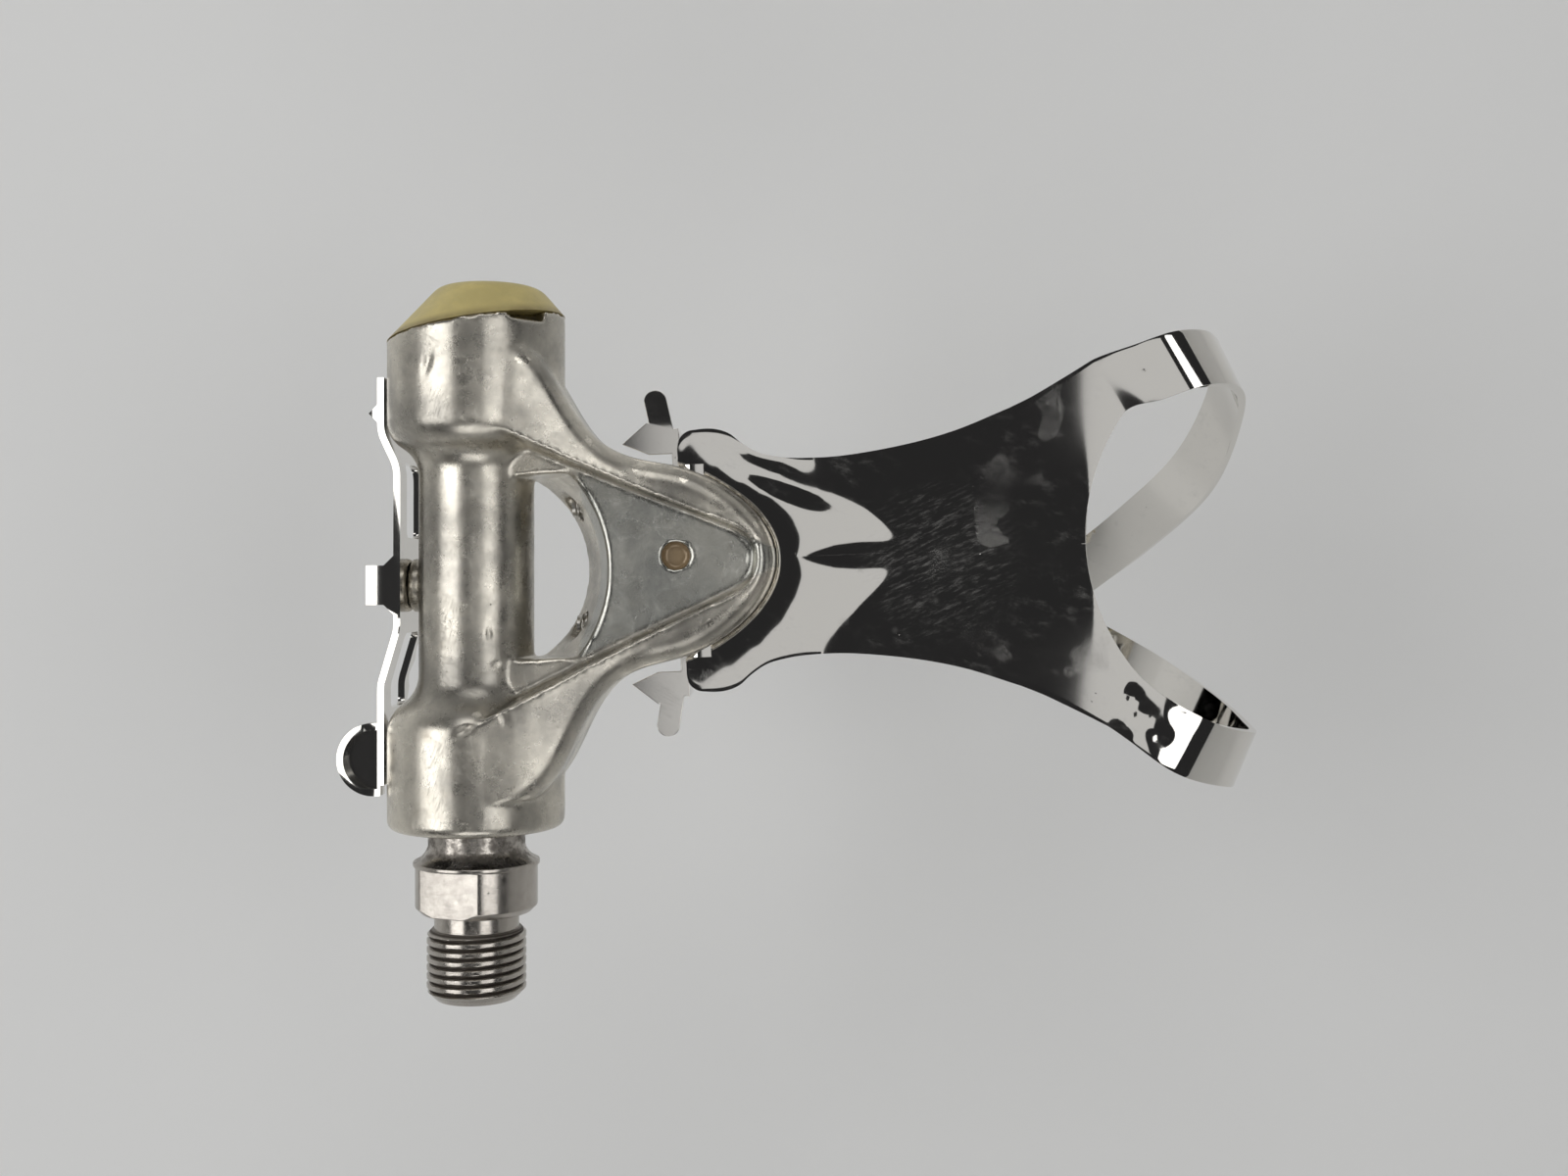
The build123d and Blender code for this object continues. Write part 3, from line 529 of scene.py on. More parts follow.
@dataclass(frozen=True)
class CapPlastic(Finish):
    """Aged pale yellow plastic, its rim by the body darkened by dirt and painted shadow, with a scuffed
    crown.
    """

    # Dark brown for dirt and specks, and for the painted shadow at the rim by the body.
    soil: Colour = (0.16, 0.11, 0.035)
    pale: Colour = (0.72, 0.64, 0.33)
    seam_y: float = 84.5
    seam_rise: float = 0.169

    def pattern(self, on: Surface) -> dict[str, Wire]:
        """Makes the nodes of what varies over the surface.

        Args:
            on: the surface to add them to.

        Returns:
            Wires by shader input.
        """
        across, along, _ = on.axis()
        above = along - across * self.seam_rise - self.seam_y
        cloud = on.noise(5.0, 5.0, 0.62)
        fine = on.noise(0.35, 3.0, seed=5.0)
        lines = on.scratches((0.0, 25.0, 65.0), 0.09, 5.0, 0.7, 3.0)
        lines = lines + on.scratches((30.0, 70.0, 10.0), 0.08, 4.0, 0.6, 8.0)
        # Band along the rim by the body: part dirt, part painted shadow of the gap.
        rim_shadow_and_dirt = above.step(1.5, 0.1) * cloud.step(0.25, 0.6)
        specks = on.specks(1.7, 0.15) * on.noise(4.0, 2.0, seed=7.0).step(0.5, 0.62)
        colour = on.blend(cloud.step(0.35, 0.68), tuple(0.8 * c for c in self.colour), self.colour)
        colour = on.blend(lines * 0.5, colour, self.pale)
        colour = on.blend(rim_shadow_and_dirt.math("MAXIMUM", rim_shadow_and_dirt * 0.7, specks * 0.8), colour, self.soil)
        rough = self.roughness + (cloud - 0.5) * 0.2 + lines * 0.12
        height = fine * 0.4 + cloud * 0.6 - lines * 0.5 - specks * 0.5
        return {"Base Color": colour, "Roughness": rough, "Normal": on.bump(height, 0.03)}


@dataclass(frozen=True)
class SealRubber(Finish):
    """Dark rubber with dust on it."""

    dust: Colour = (0.20, 0.17, 0.13)

    def pattern(self, on: Surface) -> dict[str, Wire]:
        """Makes the nodes of what varies over the surface.

        Args:
            on: the surface to add them to.

        Returns:
            Wires by shader input.
        """
        cloud = on.noise(1.2, 5.0, 0.65)
        colour = on.blend(cloud.step(0.5, 0.8) * 0.6, self.colour, self.dust)
        rough = self.roughness + (cloud - 0.5) * 0.2
        return {"Base Color": colour, "Roughness": rough, "Normal": on.bump(cloud, 0.04)}


FINISHES = (
    WornAlloy("worn_alloy", Slot.BODY, (0.70, 0.66, 0.575), 0.29),
    SpindleSteel("greasy_spindle_steel", Slot.SPINDLE, (0.46, 0.43, 0.39), 0.20),
    Finish("polished_bearing_steel", Slot.BEARING, (0.62, 0.62, 0.62), 0.18),
    Finish("plated_screw_steel", Slot.SCREW, (0.55, 0.53, 0.49), 0.30),
    BrightChrome("plate_chrome", Slot.PLATE, (0.74, 0.72, 0.68), 0.10),
    BrightChrome("clip_chrome", Slot.CLIP, (0.76, 0.74, 0.70), 0.05),
    CapPlastic("pale_cap_plastic", Slot.CAP, (0.67, 0.55, 0.20), 0.42, 0.0, 0.15),
    SealRubber("seal_rubber", Slot.SEAL, (0.03, 0.03, 0.03), 0.7, 0.0),
)


class Workshop:
    """Finishes by slot, and the steps that every piece goes through."""

    def __init__(self, finishes: Sequence[Finish]) -> None:
        """Makes the finishes' materials."""
        self.materials = {finish.slot: finish.material() for finish in finishes}

    def place(self, name: str, mesh: bpy.types.Mesh, slot: Slot) -> bpy.types.Object:
        """Makes an object for a mesh.

        Args:
            name: name of the piece.
            mesh: its mesh, in metres.
            slot: the slot whose finish it gets.

        Returns:
            The object, at the origin.
        """
        mesh.materials.clear()
        mesh.materials.append(self.materials[slot])
        piece = bpy.data.objects.new(name, mesh)
        bpy.context.scene.collection.objects.link(piece)
        return piece

    def hand_over(self, piece: bpy.types.Object, body: Body, node: str) -> None:
        """Lets a piece ride on its body in place of a CAD node.

        Args:
            piece: the piece.
            body: the body that it rides on.
            node: the CAD node that it stands for.
        """
        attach(piece, body.value)
        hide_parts(node)
        LOG.info("%s rides on %s, %d faces", piece.name, body.value, len(piece.data.polygons))

    def dress(self, node: str) -> None:
        """Gives a CAD node that stays the finish of its slot.

        Args:
            node: name of the node.
        """
        slots = {part["node"]: part["material_slot"] for part in frame["record"]["subparts"]}
        mesh = frame["nodes"][node].data
        mesh.materials.clear()
        mesh.materials.append(self.materials[Slot(slots[node])])


def node_copy(node: str) -> bpy.types.Mesh:
    """Copies a CAD node's mesh and joins its corners.

    Args:
        node: name of the node.

    Returns:
        The copy, without the node's own normals.
    """
    mesh = frame["nodes"][node].data.copy()
    shape = bmesh.new()
    shape.from_mesh(mesh)
    bmesh.ops.remove_doubles(shape, verts=shape.verts, dist=CORNER_WELD)
    shape.to_mesh(mesh)
    shape.free()
    if mesh.has_custom_normals:
        mesh.attributes.remove(mesh.attributes["custom_normal"])
    return mesh


def settled(mesh: bpy.types.Mesh, add: Callable[[bpy.types.Object], None]) -> bpy.types.Mesh:
    """Applies modifiers to a mesh.

    Args:
        mesh: the mesh to start from.
        add: puts the modifiers on an object.

    Returns:
        A new mesh with the modifiers applied.
    """
    holder = bpy.data.objects.new("holder", mesh)
    bpy.context.scene.collection.objects.link(holder)
    add(holder)
    graph = bpy.context.evaluated_depsgraph_get()
    made = bpy.data.meshes.new_from_object(holder.evaluated_get(graph), depsgraph=graph)
    bpy.data.objects.remove(holder)
    return made


def shaded(mesh: bpy.types.Mesh, sharp: float = 35.0) -> bpy.types.Mesh:
    """Shades a mesh so that its flat faces stay flat beside their rounded edges.

    Args:
        mesh: the mesh to shade.
        sharp: edges with more degrees than this stay sharp.

    Returns:
        A new mesh with its normals weighed by area.
    """
    mesh.shade_smooth()
    mesh.set_sharp_from_angle(angle=math.radians(sharp))

    def add(holder: bpy.types.Object) -> None:
        """Adds the weighing of normals by area.

        Args:
            holder: object to add it to.
        """
        weigh = holder.modifiers.new("normals", "WEIGHTED_NORMAL")
        weigh.keep_sharp = True
        weigh.weight = NORMAL_WEIGHT

    return settled(mesh, add)


def edged(mesh: bpy.types.Mesh, width: float, segments: int = 3) -> bpy.types.Mesh:
    """Rounds the sharp edges of a mesh.

    Args:
        mesh: a closed mesh.
        width: width of the rounding in millimetres.
        segments: steps over the rounding.

    Returns:
        A new mesh with the edges rounded.
    """
    shape = bmesh.new()
    shape.from_mesh(mesh)
    bmesh.ops.dissolve_limit(shape, angle_limit=FLAT_ANGLE, verts=shape.verts, edges=shape.edges)
    shape.to_mesh(mesh)
    shape.free()

    def add(holder: bpy.types.Object) -> None:
        """Adds the rounding.

        Args:
            holder: object to add it to.
        """
        round_off = holder.modifiers.new("edges", "BEVEL")
        round_off.width = width * MM
        round_off.segments = segments
        round_off.limit_method = "ANGLE"
        round_off.angle_limit = EDGE_ANGLE

    return settled(mesh, add)


@dataclass
class ForgedBody:
    """Pedal body with its forged corners run out softly and the nicks of long use."""

    voxel: float = 0.41
    rounds: int = 5
    crisp_share: float = 0.2
    pull: float = 0.5
    nose_rise: tuple[float, float] = (6.0, 10.0)
    waist: tuple[float, float] = (24.0, 74.0)
    waist_run: float = 4.0
    waist_share: float = 0.7
    hole: tuple[float, float] = (29.2, 51.6)
    hole_guard: float = 3.6
    guard_core: float = 0.7
    seam_guard: tuple[float, float] = (80.0, 76.0)
    nick_slim: float = 0.4
    nick_reach: float = 4.0
    nicks: Sequence[tuple[Colour, float, float, float]] = field(
        default_factory=lambda: (
            ((40.2, 51.4, 5.0), 1.3, 0.35, 80.0),
            ((40.6, 53.2, 5.0), 0.9, 0.30, 60.0),
            ((0.6, 27.4, 12.6), 1.1, 0.35, 30.0),
            ((6.0, 29.0, 11.2), 0.9, 0.30, 120.0),
            ((-4.5, 78.3, 11.9), 1.5, 0.32, 75.0),
            ((8.4, 61.6, 8.0), 1.0, 0.25, 45.0),
            ((3.2, 40.5, 8.0), 0.8, 0.25, 95.0),
            ((4.0, 36.2, 8.4), 0.7, 0.25, 15.0),
        )
    )

    def build(self, shop: Workshop) -> None:
        """Makes the body and lets it stand for the CAD body.

        Args:
            shop: gives the finish.
        """

        def add(holder: bpy.types.Object) -> None:
            """Adds the even mesh.

            Args:
                holder: object to add it to.
            """
            even = holder.modifiers.new("even", "REMESH")
            even.mode = "VOXEL"
            even.voxel_size = self.voxel * MM

        mesh = settled(node_copy("pedal_body"), add)
        points = np.zeros(len(mesh.vertices) * 3)
        mesh.vertices.foreach_get("co", points)
        points = points.reshape(-1, 3) / MM
        edges = np.zeros(len(mesh.edges) * 2, int)
        mesh.edges.foreach_get("vertices", edges)
        points = self.relaxed(points, edges.reshape(-1, 2))
        points = self.nicked(points)
        mesh.vertices.foreach_set("co", (points * MM).ravel())
        mesh.update()
        mesh.shade_smooth()
        piece = shop.place("forged_body", mesh, Slot.BODY)
        shop.hand_over(piece, Body.PEDAL, "pedal_body")

    def softness(self, points: np.ndarray) -> np.ndarray:
        """Finds how freely each point may move.

        Args:
            points: places in millimetres.

        Returns:
            A share from 0 to 1 for each point.
        """
        x, y, _ = points.T
        start, end = self.nose_rise
        nose = np.clip((x - start) / (end - start), 0.0, 1.0)
        from_hole = np.hypot(x - self.hole[0], y - self.hole[1])
        core = self.hole_guard * self.guard_core
        guard = np.clip((from_hole - core) / (self.hole_guard - core), 0.0, 1.0)
        first, last = self.waist
        waist = np.clip((y - first) / self.waist_run, 0.0, 1.0)
        waist = waist * np.clip((last - y) / self.waist_run, 0.0, 1.0)
        high, low = self.seam_guard
        guard = guard * np.clip((high - y) / (high - low), 0.0, 1.0)
        free = np.maximum(nose, self.waist_share * waist) * guard
        return self.crisp_share + (1.0 - self.crisp_share) * free

    def relaxed(self, points: np.ndarray, edges: np.ndarray) -> np.ndarray:
        """Runs the corners out.

        Args:
            points: places in millimetres.
            edges: pairs of point numbers.

        Returns:
            The moved points.
        """
        count = len(points)
        degree = np.bincount(edges.ravel(), minlength=count)
        share = self.pull * self.softness(points)[:, None]
        first, second = edges.T
        for _ in range(self.rounds):
            total = np.empty_like(points)
            for axis in range(3):
                sums = np.bincount(first, points[second, axis], count)
                sums += np.bincount(second, points[first, axis], count)
                total[:, axis] = sums / degree
            points = points + share * (total - points)
        return points

    def nicked(self, points: np.ndarray) -> np.ndarray:
        """Presses nicks into the side towards the viewer.

        Args:
            points: places in millimetres.

        Returns:
            The moved points.
        """
        for middle, radius, depth, turn in self.nicks:
            away = points - np.array(middle)
            angle = math.radians(turn)
            along = away[:, 0] * math.cos(angle) + away[:, 1] * math.sin(angle)
            across = away[:, 1] * math.cos(angle) - away[:, 0] * math.sin(angle)
            gap = (along / radius) ** 2 + (across / (self.nick_slim * radius)) ** 2
            gap = gap + (away[:, 2] / self.nick_reach) ** 2
            points[:, 2] -= depth * np.exp(-gap)
        return points


@dataclass
class ThreadTree:
    """Geometry Nodes that wind a screw thread round the Y axis."""

    segments: int = 96
    crest_end: float = 0.4
    root_start: float = 0.95
    run_out: float = 1.2
    inputs: dict[str, str] = field(default_factory=dict)

    def __post_init__(self) -> None:
        """Builds the tree with its named inputs."""
        self.tree = bpy.data.node_groups.new("screw_thread", "GeometryNodeTree")
        face = self.tree.interface
        face.new_socket("Geometry", in_out="INPUT", socket_type="NodeSocketGeometry")
        for name in ("Radius", "Depth", "Pitch", "Start", "Length", "Chamfer", "Rows"):
            kind = "NodeSocketInt" if name == "Rows" else "NodeSocketFloat"
            self.inputs[name] = face.new_socket(name, in_out="INPUT", socket_type=kind).identifier
        made = face.new_socket("Material", in_out="INPUT", socket_type="NodeSocketMaterial")
        self.inputs["Material"] = made.identifier
        face.new_socket("Geometry", in_out="OUTPUT", socket_type="NodeSocketGeometry")
        self.wire_up(Nodes(self.tree))

    def wire_up(self, on: Nodes) -> None:
        """Adds the nodes: a sheet, rolled up and grooved along a helix.

        Args:
            on: the tree to add them to.
        """
        outs = on.node("NodeGroupInput", {}, {}).socket.node.outputs
        size = {name: Wire(on, outs[name]) for name in self.inputs}
        sheet = {"Size X": 1.0, "Size Y": 1.0}
        sheet.update({"Vertices X": self.segments + 1, "Vertices Y": size["Rows"]})
        grid = on.node("GeometryNodeMeshGrid", {}, sheet, "Mesh")
        split = on.node("ShaderNodeSeparateXYZ", {}, {0: on.node("GeometryNodeInputPosition", {}, {})})
        around = Wire(on, split.socket.node.outputs[0]) + 0.5
        along = Wire(on, split.socket.node.outputs[1]) + 0.5
        y = size["Start"] + along * size["Length"]
        phase = y / size["Pitch"] - around
        saw = phase.math("PINGPONG", phase, 0.5) * 2.0
        groove = saw.step(self.crest_end, self.root_start)
        from_start = along * size["Length"]
        from_end = size["Length"] - from_start
        rising = size["Radius"] - size["Chamfer"] + from_start
        falling = size["Radius"] - size["Depth"] * self.run_out + from_end
        crest = rising.math("MINIMUM", size["Radius"], rising)
        crest = crest.math("MINIMUM", crest, falling)
        depth = size["Radius"] - size["Depth"] * groove
        radius = crest.math("MINIMUM", crest, depth)
        turn = around * (2 * math.pi)
        place = {0: radius * turn.math("SINE", turn), 1: y, 2: radius * turn.math("COSINE", turn)}
        rolled = on.node("ShaderNodeCombineXYZ", {}, place)
        moved = on.node("GeometryNodeSetPosition", {}, {"Geometry": grid, "Position": rolled})
        joined = on.node("GeometryNodeMergeByDistance", {}, {"Geometry": moved, "Distance": TURN_WELD})
        smooth = on.node("GeometryNodeSetShadeSmooth", {}, {"Geometry": joined})
        whole = on.node("GeometryNodeRealizeInstances", {}, {"Geometry": smooth})
        finish = {"Geometry": whole, "Material": size["Material"]}
        dressed = on.node("GeometryNodeSetMaterial", {}, finish)
        end = on.tree.nodes.new("NodeGroupOutput")
        on.tree.links.new(dressed.socket, end.inputs[0])

    def wind(self, lengths: dict[str, float], rows: int, material: bpy.types.Material) -> bpy.types.Mesh:
        """Winds a thread.

        Args:
            lengths: the tree's lengths by name, in millimetres.
            rows: points along the thread.
            material: its finish.

        Returns:
            The thread round the Y axis, with its faces outwards.
        """
        sizes = {name: length * MM for name, length in lengths.items()}
        sizes.update({"Rows": rows, "Material": material})

        def add(holder: bpy.types.Object) -> None:
            """Adds the tree with its sizes.

            Args:
                holder: object to add it to.
            """
            winding = holder.modifiers.new("thread", "NODES")
            winding.node_group = self.tree
            for name, value in sizes.items():
                winding[self.inputs[name]] = value

        made = settled(bpy.data.meshes.new("thread"), add)
        shape = bmesh.new()
        shape.from_mesh(made)
        shape.faces.ensure_lookup_table()
        middle = shape.faces[len(shape.faces) // 2]
        centre = middle.calc_center_median()
        if middle.normal.dot(Vector((centre.x, 0, centre.z))) < 0:
            bmesh.ops.reverse_faces(shape, faces=shape.faces)
        shape.to_mesh(made)
        shape.free()
        return made


def joined(meshes: Sequence[bpy.types.Mesh]) -> bpy.types.Mesh:
    """Puts several meshes into one.

    Args:
        meshes: the meshes.

    Returns:
        One new mesh.
    """
    shape = bmesh.new()
    for mesh in meshes:
        shape.from_mesh(mesh)
    made = bpy.data.meshes.new("joined")
    shape.to_mesh(made)
    shape.free()
    return made


@dataclass
class Spindle:
    """Spindle with a cut thread at the crank end."""

    thread_radius: float = 7.145
    thread_depth: float = 0.62
    pitch: float = 1.27
    start: float = -12.5
    end: float = -2.4
    chamfer: float = 1.3
    rows: int = 150
    edge: float = 0.22
    core_gap: float = 0.05
    slack: float = 0.01

    def build(self, shop: Workshop, threads: ThreadTree) -> None:
        """Makes the spindle and lets it stand for the CAD spindle.

        Args:
            shop: gives the finish.
            threads: winds the thread.
        """
        blank = node_copy("spindle")
        core = (self.thread_radius - self.thread_depth - self.core_gap) * MM
        for vertex in blank.vertices:
            radius = math.hypot(vertex.co.x, vertex.co.z)
            if vertex.co.y < (self.end + self.slack) * MM and radius > core:
                vertex.co.x *= core / radius
                vertex.co.z *= core / radius
        lengths = {
            "Radius": self.thread_radius,
            "Depth": self.thread_depth,
            "Pitch": self.pitch,
            "Start": self.start,
            "Length": self.end - self.start,
            "Chamfer": self.chamfer,
        }
        thread = threads.wind(lengths, self.rows, shop.materials[Slot.SPINDLE])
        mesh = shaded(joined([edged(blank, self.edge), thread]))
        piece = shop.place("turned_spindle", mesh, Slot.SPINDLE)
        shop.hand_over(piece, Body.SPINDLE, "spindle")


@dataclass
class ClipSheet:
    """Toe clip: one bent strip of chromed sheet from the flange to the strap loop."""

    thick: float = 1.2
    middle: float = 0.8
    bend_at: float = 50.0
    rise: float = 10.0
    bend_front: float = 67.5
    bend_sweep: float = 1.65
    bend_blunt: float = 4.5
    bend_span: float = 7.0
    bend_end: float = 88.0
    bend_half: float = 11.9
    bend_power: float = 6.0
    lanes: int = 30
    row_steps: int = 8
    arm_steps: int = 12
    lane_power: float = 1.6
    relief_depth: float = 1.1
    relief_width: float = 8.2
    relief_tuck: float = 1.2
    relief_inner: float = 3.0
    nose_plan: Sequence[tuple[float, float]] = (
        (24.0, 15.2),
        (30.4, 13.7),
        (34.4, 11.9),
        (38.0, 9.6),
        (40.6, 7.2),
        (42.4, 4.6),
        (43.4, 2.3),
        (43.7, 0.0),
    )
    dent: tuple[float, float] = (44.2, 11.6)
    dent_size: tuple[float, float] = (8.0, 2.1)
    dent_turn: float = -23.0
    dent_depth: float = 0.5
    fork_notch: tuple[float, float] = (88.1, 30.43)
    groove_depth: float = 0.5
    groove_half: float = 1.6
    groove_run: tuple[float, float] = (43.0, 70.0)
    flange_half: float = 14.0
    flange_low: float = -9.5
    flange_x: float = 30.6
    flange_bend: float = 1.5
    flange_lap: float = 1.6
    flange_steps: int = 6
    flange_lanes: int = 8
    edge: float = 0.28
    edge_steps: int = 3
    edge_angle: float = 50.0
    arm_half: float = 4.35
    outline: Sequence[tuple[float, float, float]] = (
        (30.0, 16.4, 30.0),
        (30.35, 17.8, 30.35),
        (31.4, 18.75, 31.3),
        (33.0, 19.05, 32.8),
        (35.6, 19.0, 35.2),
        (37.6, 18.3, 37.4),
        (39.3, 16.9, 39.6),
        (41.4, 15.55, 42.2),
        (45.0, 14.6, 46.4),
        (50.0, 14.25, 52.4),
        (60.0, 14.95, 64.2),
        (70.0, 16.9, 77.0),
        (78.2, 19.75, 88.1),
    )
    notch: Sequence[tuple[float, float, float]] = (
        (78.2, 19.75, 0.0),
        (81.2, 21.05, 4.6),
        (84.2, 22.6, 9.6),
        (87.1, 24.15, 14.2),
        (89.96, 25.74, 18.06),
    )
    outboard: Sequence[tuple[Colour, Colour]] = (
        ((96.0, 77.3, 8.8), (0.49, -0.87, 0.0)),
        ((100.8, 78.9, 9.25), (0.5, -0.86, 0.0)),
        ((105.2, 79.5, 6.8), (0.48, -0.87, 0.0)),
        ((109.0, 79.2, 1.0), (0.45, -0.89, 0.0)),
        ((112.2, 75.0, -11.0), (0.4, -0.91, 0.0)),
        ((111.2, 65.6, -26.3), (0.46, -0.83, 0.3)),
        ((104.0, 56.5, -40.0), (0.46, -0.83, 0.3)),
        ((93.32, 46.68, -54.0), (0.73, -0.68, 0.0)),
    )
    inboard: Sequence[tuple[Colour, Colour]] = (
        ((101.5, 25.0, 8.2), (0.5, 0.86, 0.0)),
        ((110.5, 22.3, 1.0), (0.42, 0.9, 0.0)),
        ((114.05, 22.4, -12.0), (0.35, 0.93, 0.0)),
        ((112.8, 26.2, -29.0), (0.45, 0.85, 0.25)),
        ((106.0, 32.5, -43.5), (0.5, 0.83, 0.2)),
        ((94.07, 39.9, -54.0), (0.56, 0.83, 0.0)),
    )
    knocks: Sequence[tuple[float, float, float, float]] = (
        (95.3, 78.3, 1.0, 0.08),
        (93.7, 31.8, 1.2, 0.22),
        (95.2, 29.2, 1.4, 0.26),
        (100.4, 28.9, 1.2, 0.20),
        (92.1, 26.5, 1.1, 0.20),
        (97.6, 26.2, 1.5, 0.24),
    )
    loop_rear: float = 78.0
    loop_z: float = -54.0
    loop_gap: float = 4.6
    loop_mouth: float = 11.8
    loop_span: tuple[float, float] = (36.64, 49.08)
    loop_apex: tuple[float, float] = (96.5, 43.5)
    loop_corners: tuple[float, float] = (90.14, 91.63)
    loop_edge: float = 0.3
    loop_lip: float = 0.35

    def unrolled(self, s: float, y: float) -> Vector:
        """Bends a point of the flat blank into its place.

        Args:
            s: way along the blank from the barrel, in millimetres.
            y: way across the pedal.

        Returns:
            The place in the pedal's frame.
        """
        past = max(0.0, s - self.bend_at)
        x = s - past * (1 - math.cos(math.radians(self.rise)))
        return NOSE.point(x, y, self.middle + self.lift(x, y) - self.sink(x, y))

    def lift(self, x: float, y: float) -> float:
        """Finds how high the blank has risen past a bend that is swept back to the sides.

        Args:
            x: way along the nose's axis, in millimetres.
            y: way across it.

        Returns:
            The height in millimetres.
        """
        slope = math.tan(math.radians(self.rise))
        aside = abs(y) / (1 + (abs(y) / self.bend_half) ** self.bend_power) ** (1 / self.bend_power)
        start = self.bend_front - self.bend_sweep * math.hypot(aside, self.bend_blunt)
        run = self.bend_end - start - self.bend_span / 2
        steep = slope * (self.bend_end - self.bend_at) / run
        past = max(0.0, min(x, self.bend_end) - start)
        bent = past**2 / (2 * self.bend_span) if past < self.bend_span else past - self.bend_span / 2
        return steep * bent + slope * max(0.0, x - self.bend_end)

    def sink(self, x: float, y: float) -> float:
        """Finds how deep the relief round the nose, the groove and the dent are pressed in.

        Args:
            x: way along the nose's axis, in millimetres.
            y: way across it.

        Returns:
            The depth in millimetres.
        """
        corners = [Vector((px, side * py)) for side in (1, -1) for px, py in self.nose_plan[::side]]
        point = Vector((x, y))
        away = min(segment_gap(point, a, b) for a, b in zip(corners, corners[1:]))
        inside = abs(y) < np.interp(x, *zip(*self.nose_plan), right=0.0)
        deep = (-away if inside else away) + self.relief_tuck
        reach = self.relief_width + self.relief_tuck if deep > 0 else self.relief_inner
        total = self.relief_depth * (1 - min(1.0, abs(deep) / reach)) ** 3
        run = (x - self.groove_run[0]) / (self.groove_run[1] - self.groove_run[0])
        if 0 < run < 1:
            fade = math.sin(math.pi * run) ** 2
            total += self.groove_depth * fade * math.exp(-abs(y) / self.groove_half)
        turn = math.radians(self.dent_turn)
        from_dent = point - Vector(self.dent)
        along = from_dent.x * math.cos(turn) + from_dent.y * math.sin(turn)
        across = from_dent.y * math.cos(turn) - from_dent.x * math.sin(turn)
        spread_out = (along / self.dent_size[0]) ** 2 + (across / self.dent_size[1]) ** 2
        return total + self.dent_depth * math.exp(-spread_out)

    def pairs(self, side: int) -> list[tuple[tuple[float, float], ...]]:
        """Pairs the blank's outer and inner edge points on one side.

        Args:
            side: 1 for outboard, -1 for inboard.

        Returns:
            The pairs of points on the flat blank, row by row.
        """
        rows = []
        apex, reach = self.fork_notch
        for outer_s, outer_y, inner_s in spread(self.outline, self.row_steps):
            rows.append([(outer_s, outer_y), (inner_s, 0.0)])
        for outer_s, outer_y, inner_y in spread(self.notch, self.row_steps)[1:]:
            inner_s = apex + reach - math.sqrt(reach**2 - inner_y**2)
            rows.append([(outer_s, outer_y), (inner_s, inner_y)])
        return [tuple((s, side * y) for s, y in row) for row in rows]

    def sheet(self, side: int) -> list[list[Vector]]:
        """Lays out one half of the blank and its arm.

        Args:
            side: 1 for outboard, -1 for inboard.

        Returns:
            A grid of points in millimetres.
        """
        shares = [1 - (1 - n / self.lanes) ** self.lane_power for n in range(self.lanes + 1)]
        rows = []
        for (outer_s, outer_y), (inner_s, inner_y) in self.pairs(side):
            row = []
            for t in shares:
                s = outer_s + t * (inner_s - outer_s)
                row.append(self.unrolled(s, outer_y + t * (inner_y - outer_y)))
            rows.append(row)
        before = rows[-1 - self.row_steps]
        keys = [(*before[0], *before[-1]), (*rows[-1][0], *rows[-1][-1])]
        for centre, across in self.outboard if side > 0 else self.inboard:
            middle, width = Vector(centre), Vector(across).normalized() * self.arm_half
            keys.append((*(middle - width), *(middle + width)))
        for key in spread(keys, self.arm_steps)[self.arm_steps + 1 :]:
            outer, inner = Vector(key[:3]), Vector(key[3:])
            rows.append([self.knocked(outer.lerp(inner, t)) for t in shares])
        return rows

    def knocked(self, point: Vector) -> Vector:
        """Presses the dents of long use into a point of an arm.

        Args:
            point: the point, in millimetres.

        Returns:
            The moved point.
        """
        if point.z < 0:
            return point
        depth = 0.0
        for x, y, radius, deep in self.knocks:
            depth += deep * math.exp(-((point.x - x) ** 2 + (point.y - y) ** 2) / radius**2)
        return point - Vector((0, 0, depth))

    def flange(self) -> list[list[Vector]]:
        """Lays out the flange that hangs behind the front plate's nuts.

        Returns:
            A grid of points in millimetres.
        """
        path = [(self.flange_x + self.flange_bend + self.flange_lap, self.middle)]
        centre = (self.flange_x + self.flange_bend, self.middle - self.flange_bend)
        for n in range(self.flange_steps + 1):
            turn = math.pi / 2 * n / self.flange_steps
            x = centre[0] - self.flange_bend * math.sin(turn)
            path.append((x, centre[1] + self.flange_bend * math.cos(turn)))
        path.append((self.flange_x, self.flange_low))
        lanes = self.flange_lanes
        ends = [self.flange_half * (2 * n / lanes - 1) for n in range(lanes + 1)]
        return [[NOSE.point(x, y, z) for y in ends] for x, z in path]

    def build(self, shop: Workshop) -> None:
        """Makes the clip and lets it stand for the CAD clip.

        Args:
            shop: gives the finish.
        """
        shape = bmesh.new()
        for grid in (self.sheet(1), self.sheet(-1), self.flange()):
            add_grid(shape, grid)
        bmesh.ops.remove_doubles(shape, verts=shape.verts, dist=SHEET_WELD)
        bmesh.ops.recalc_face_normals(shape, faces=shape.faces)
        blank = bpy.data.meshes.new("clip_blank")
        shape.to_mesh(blank)
        shape.free()

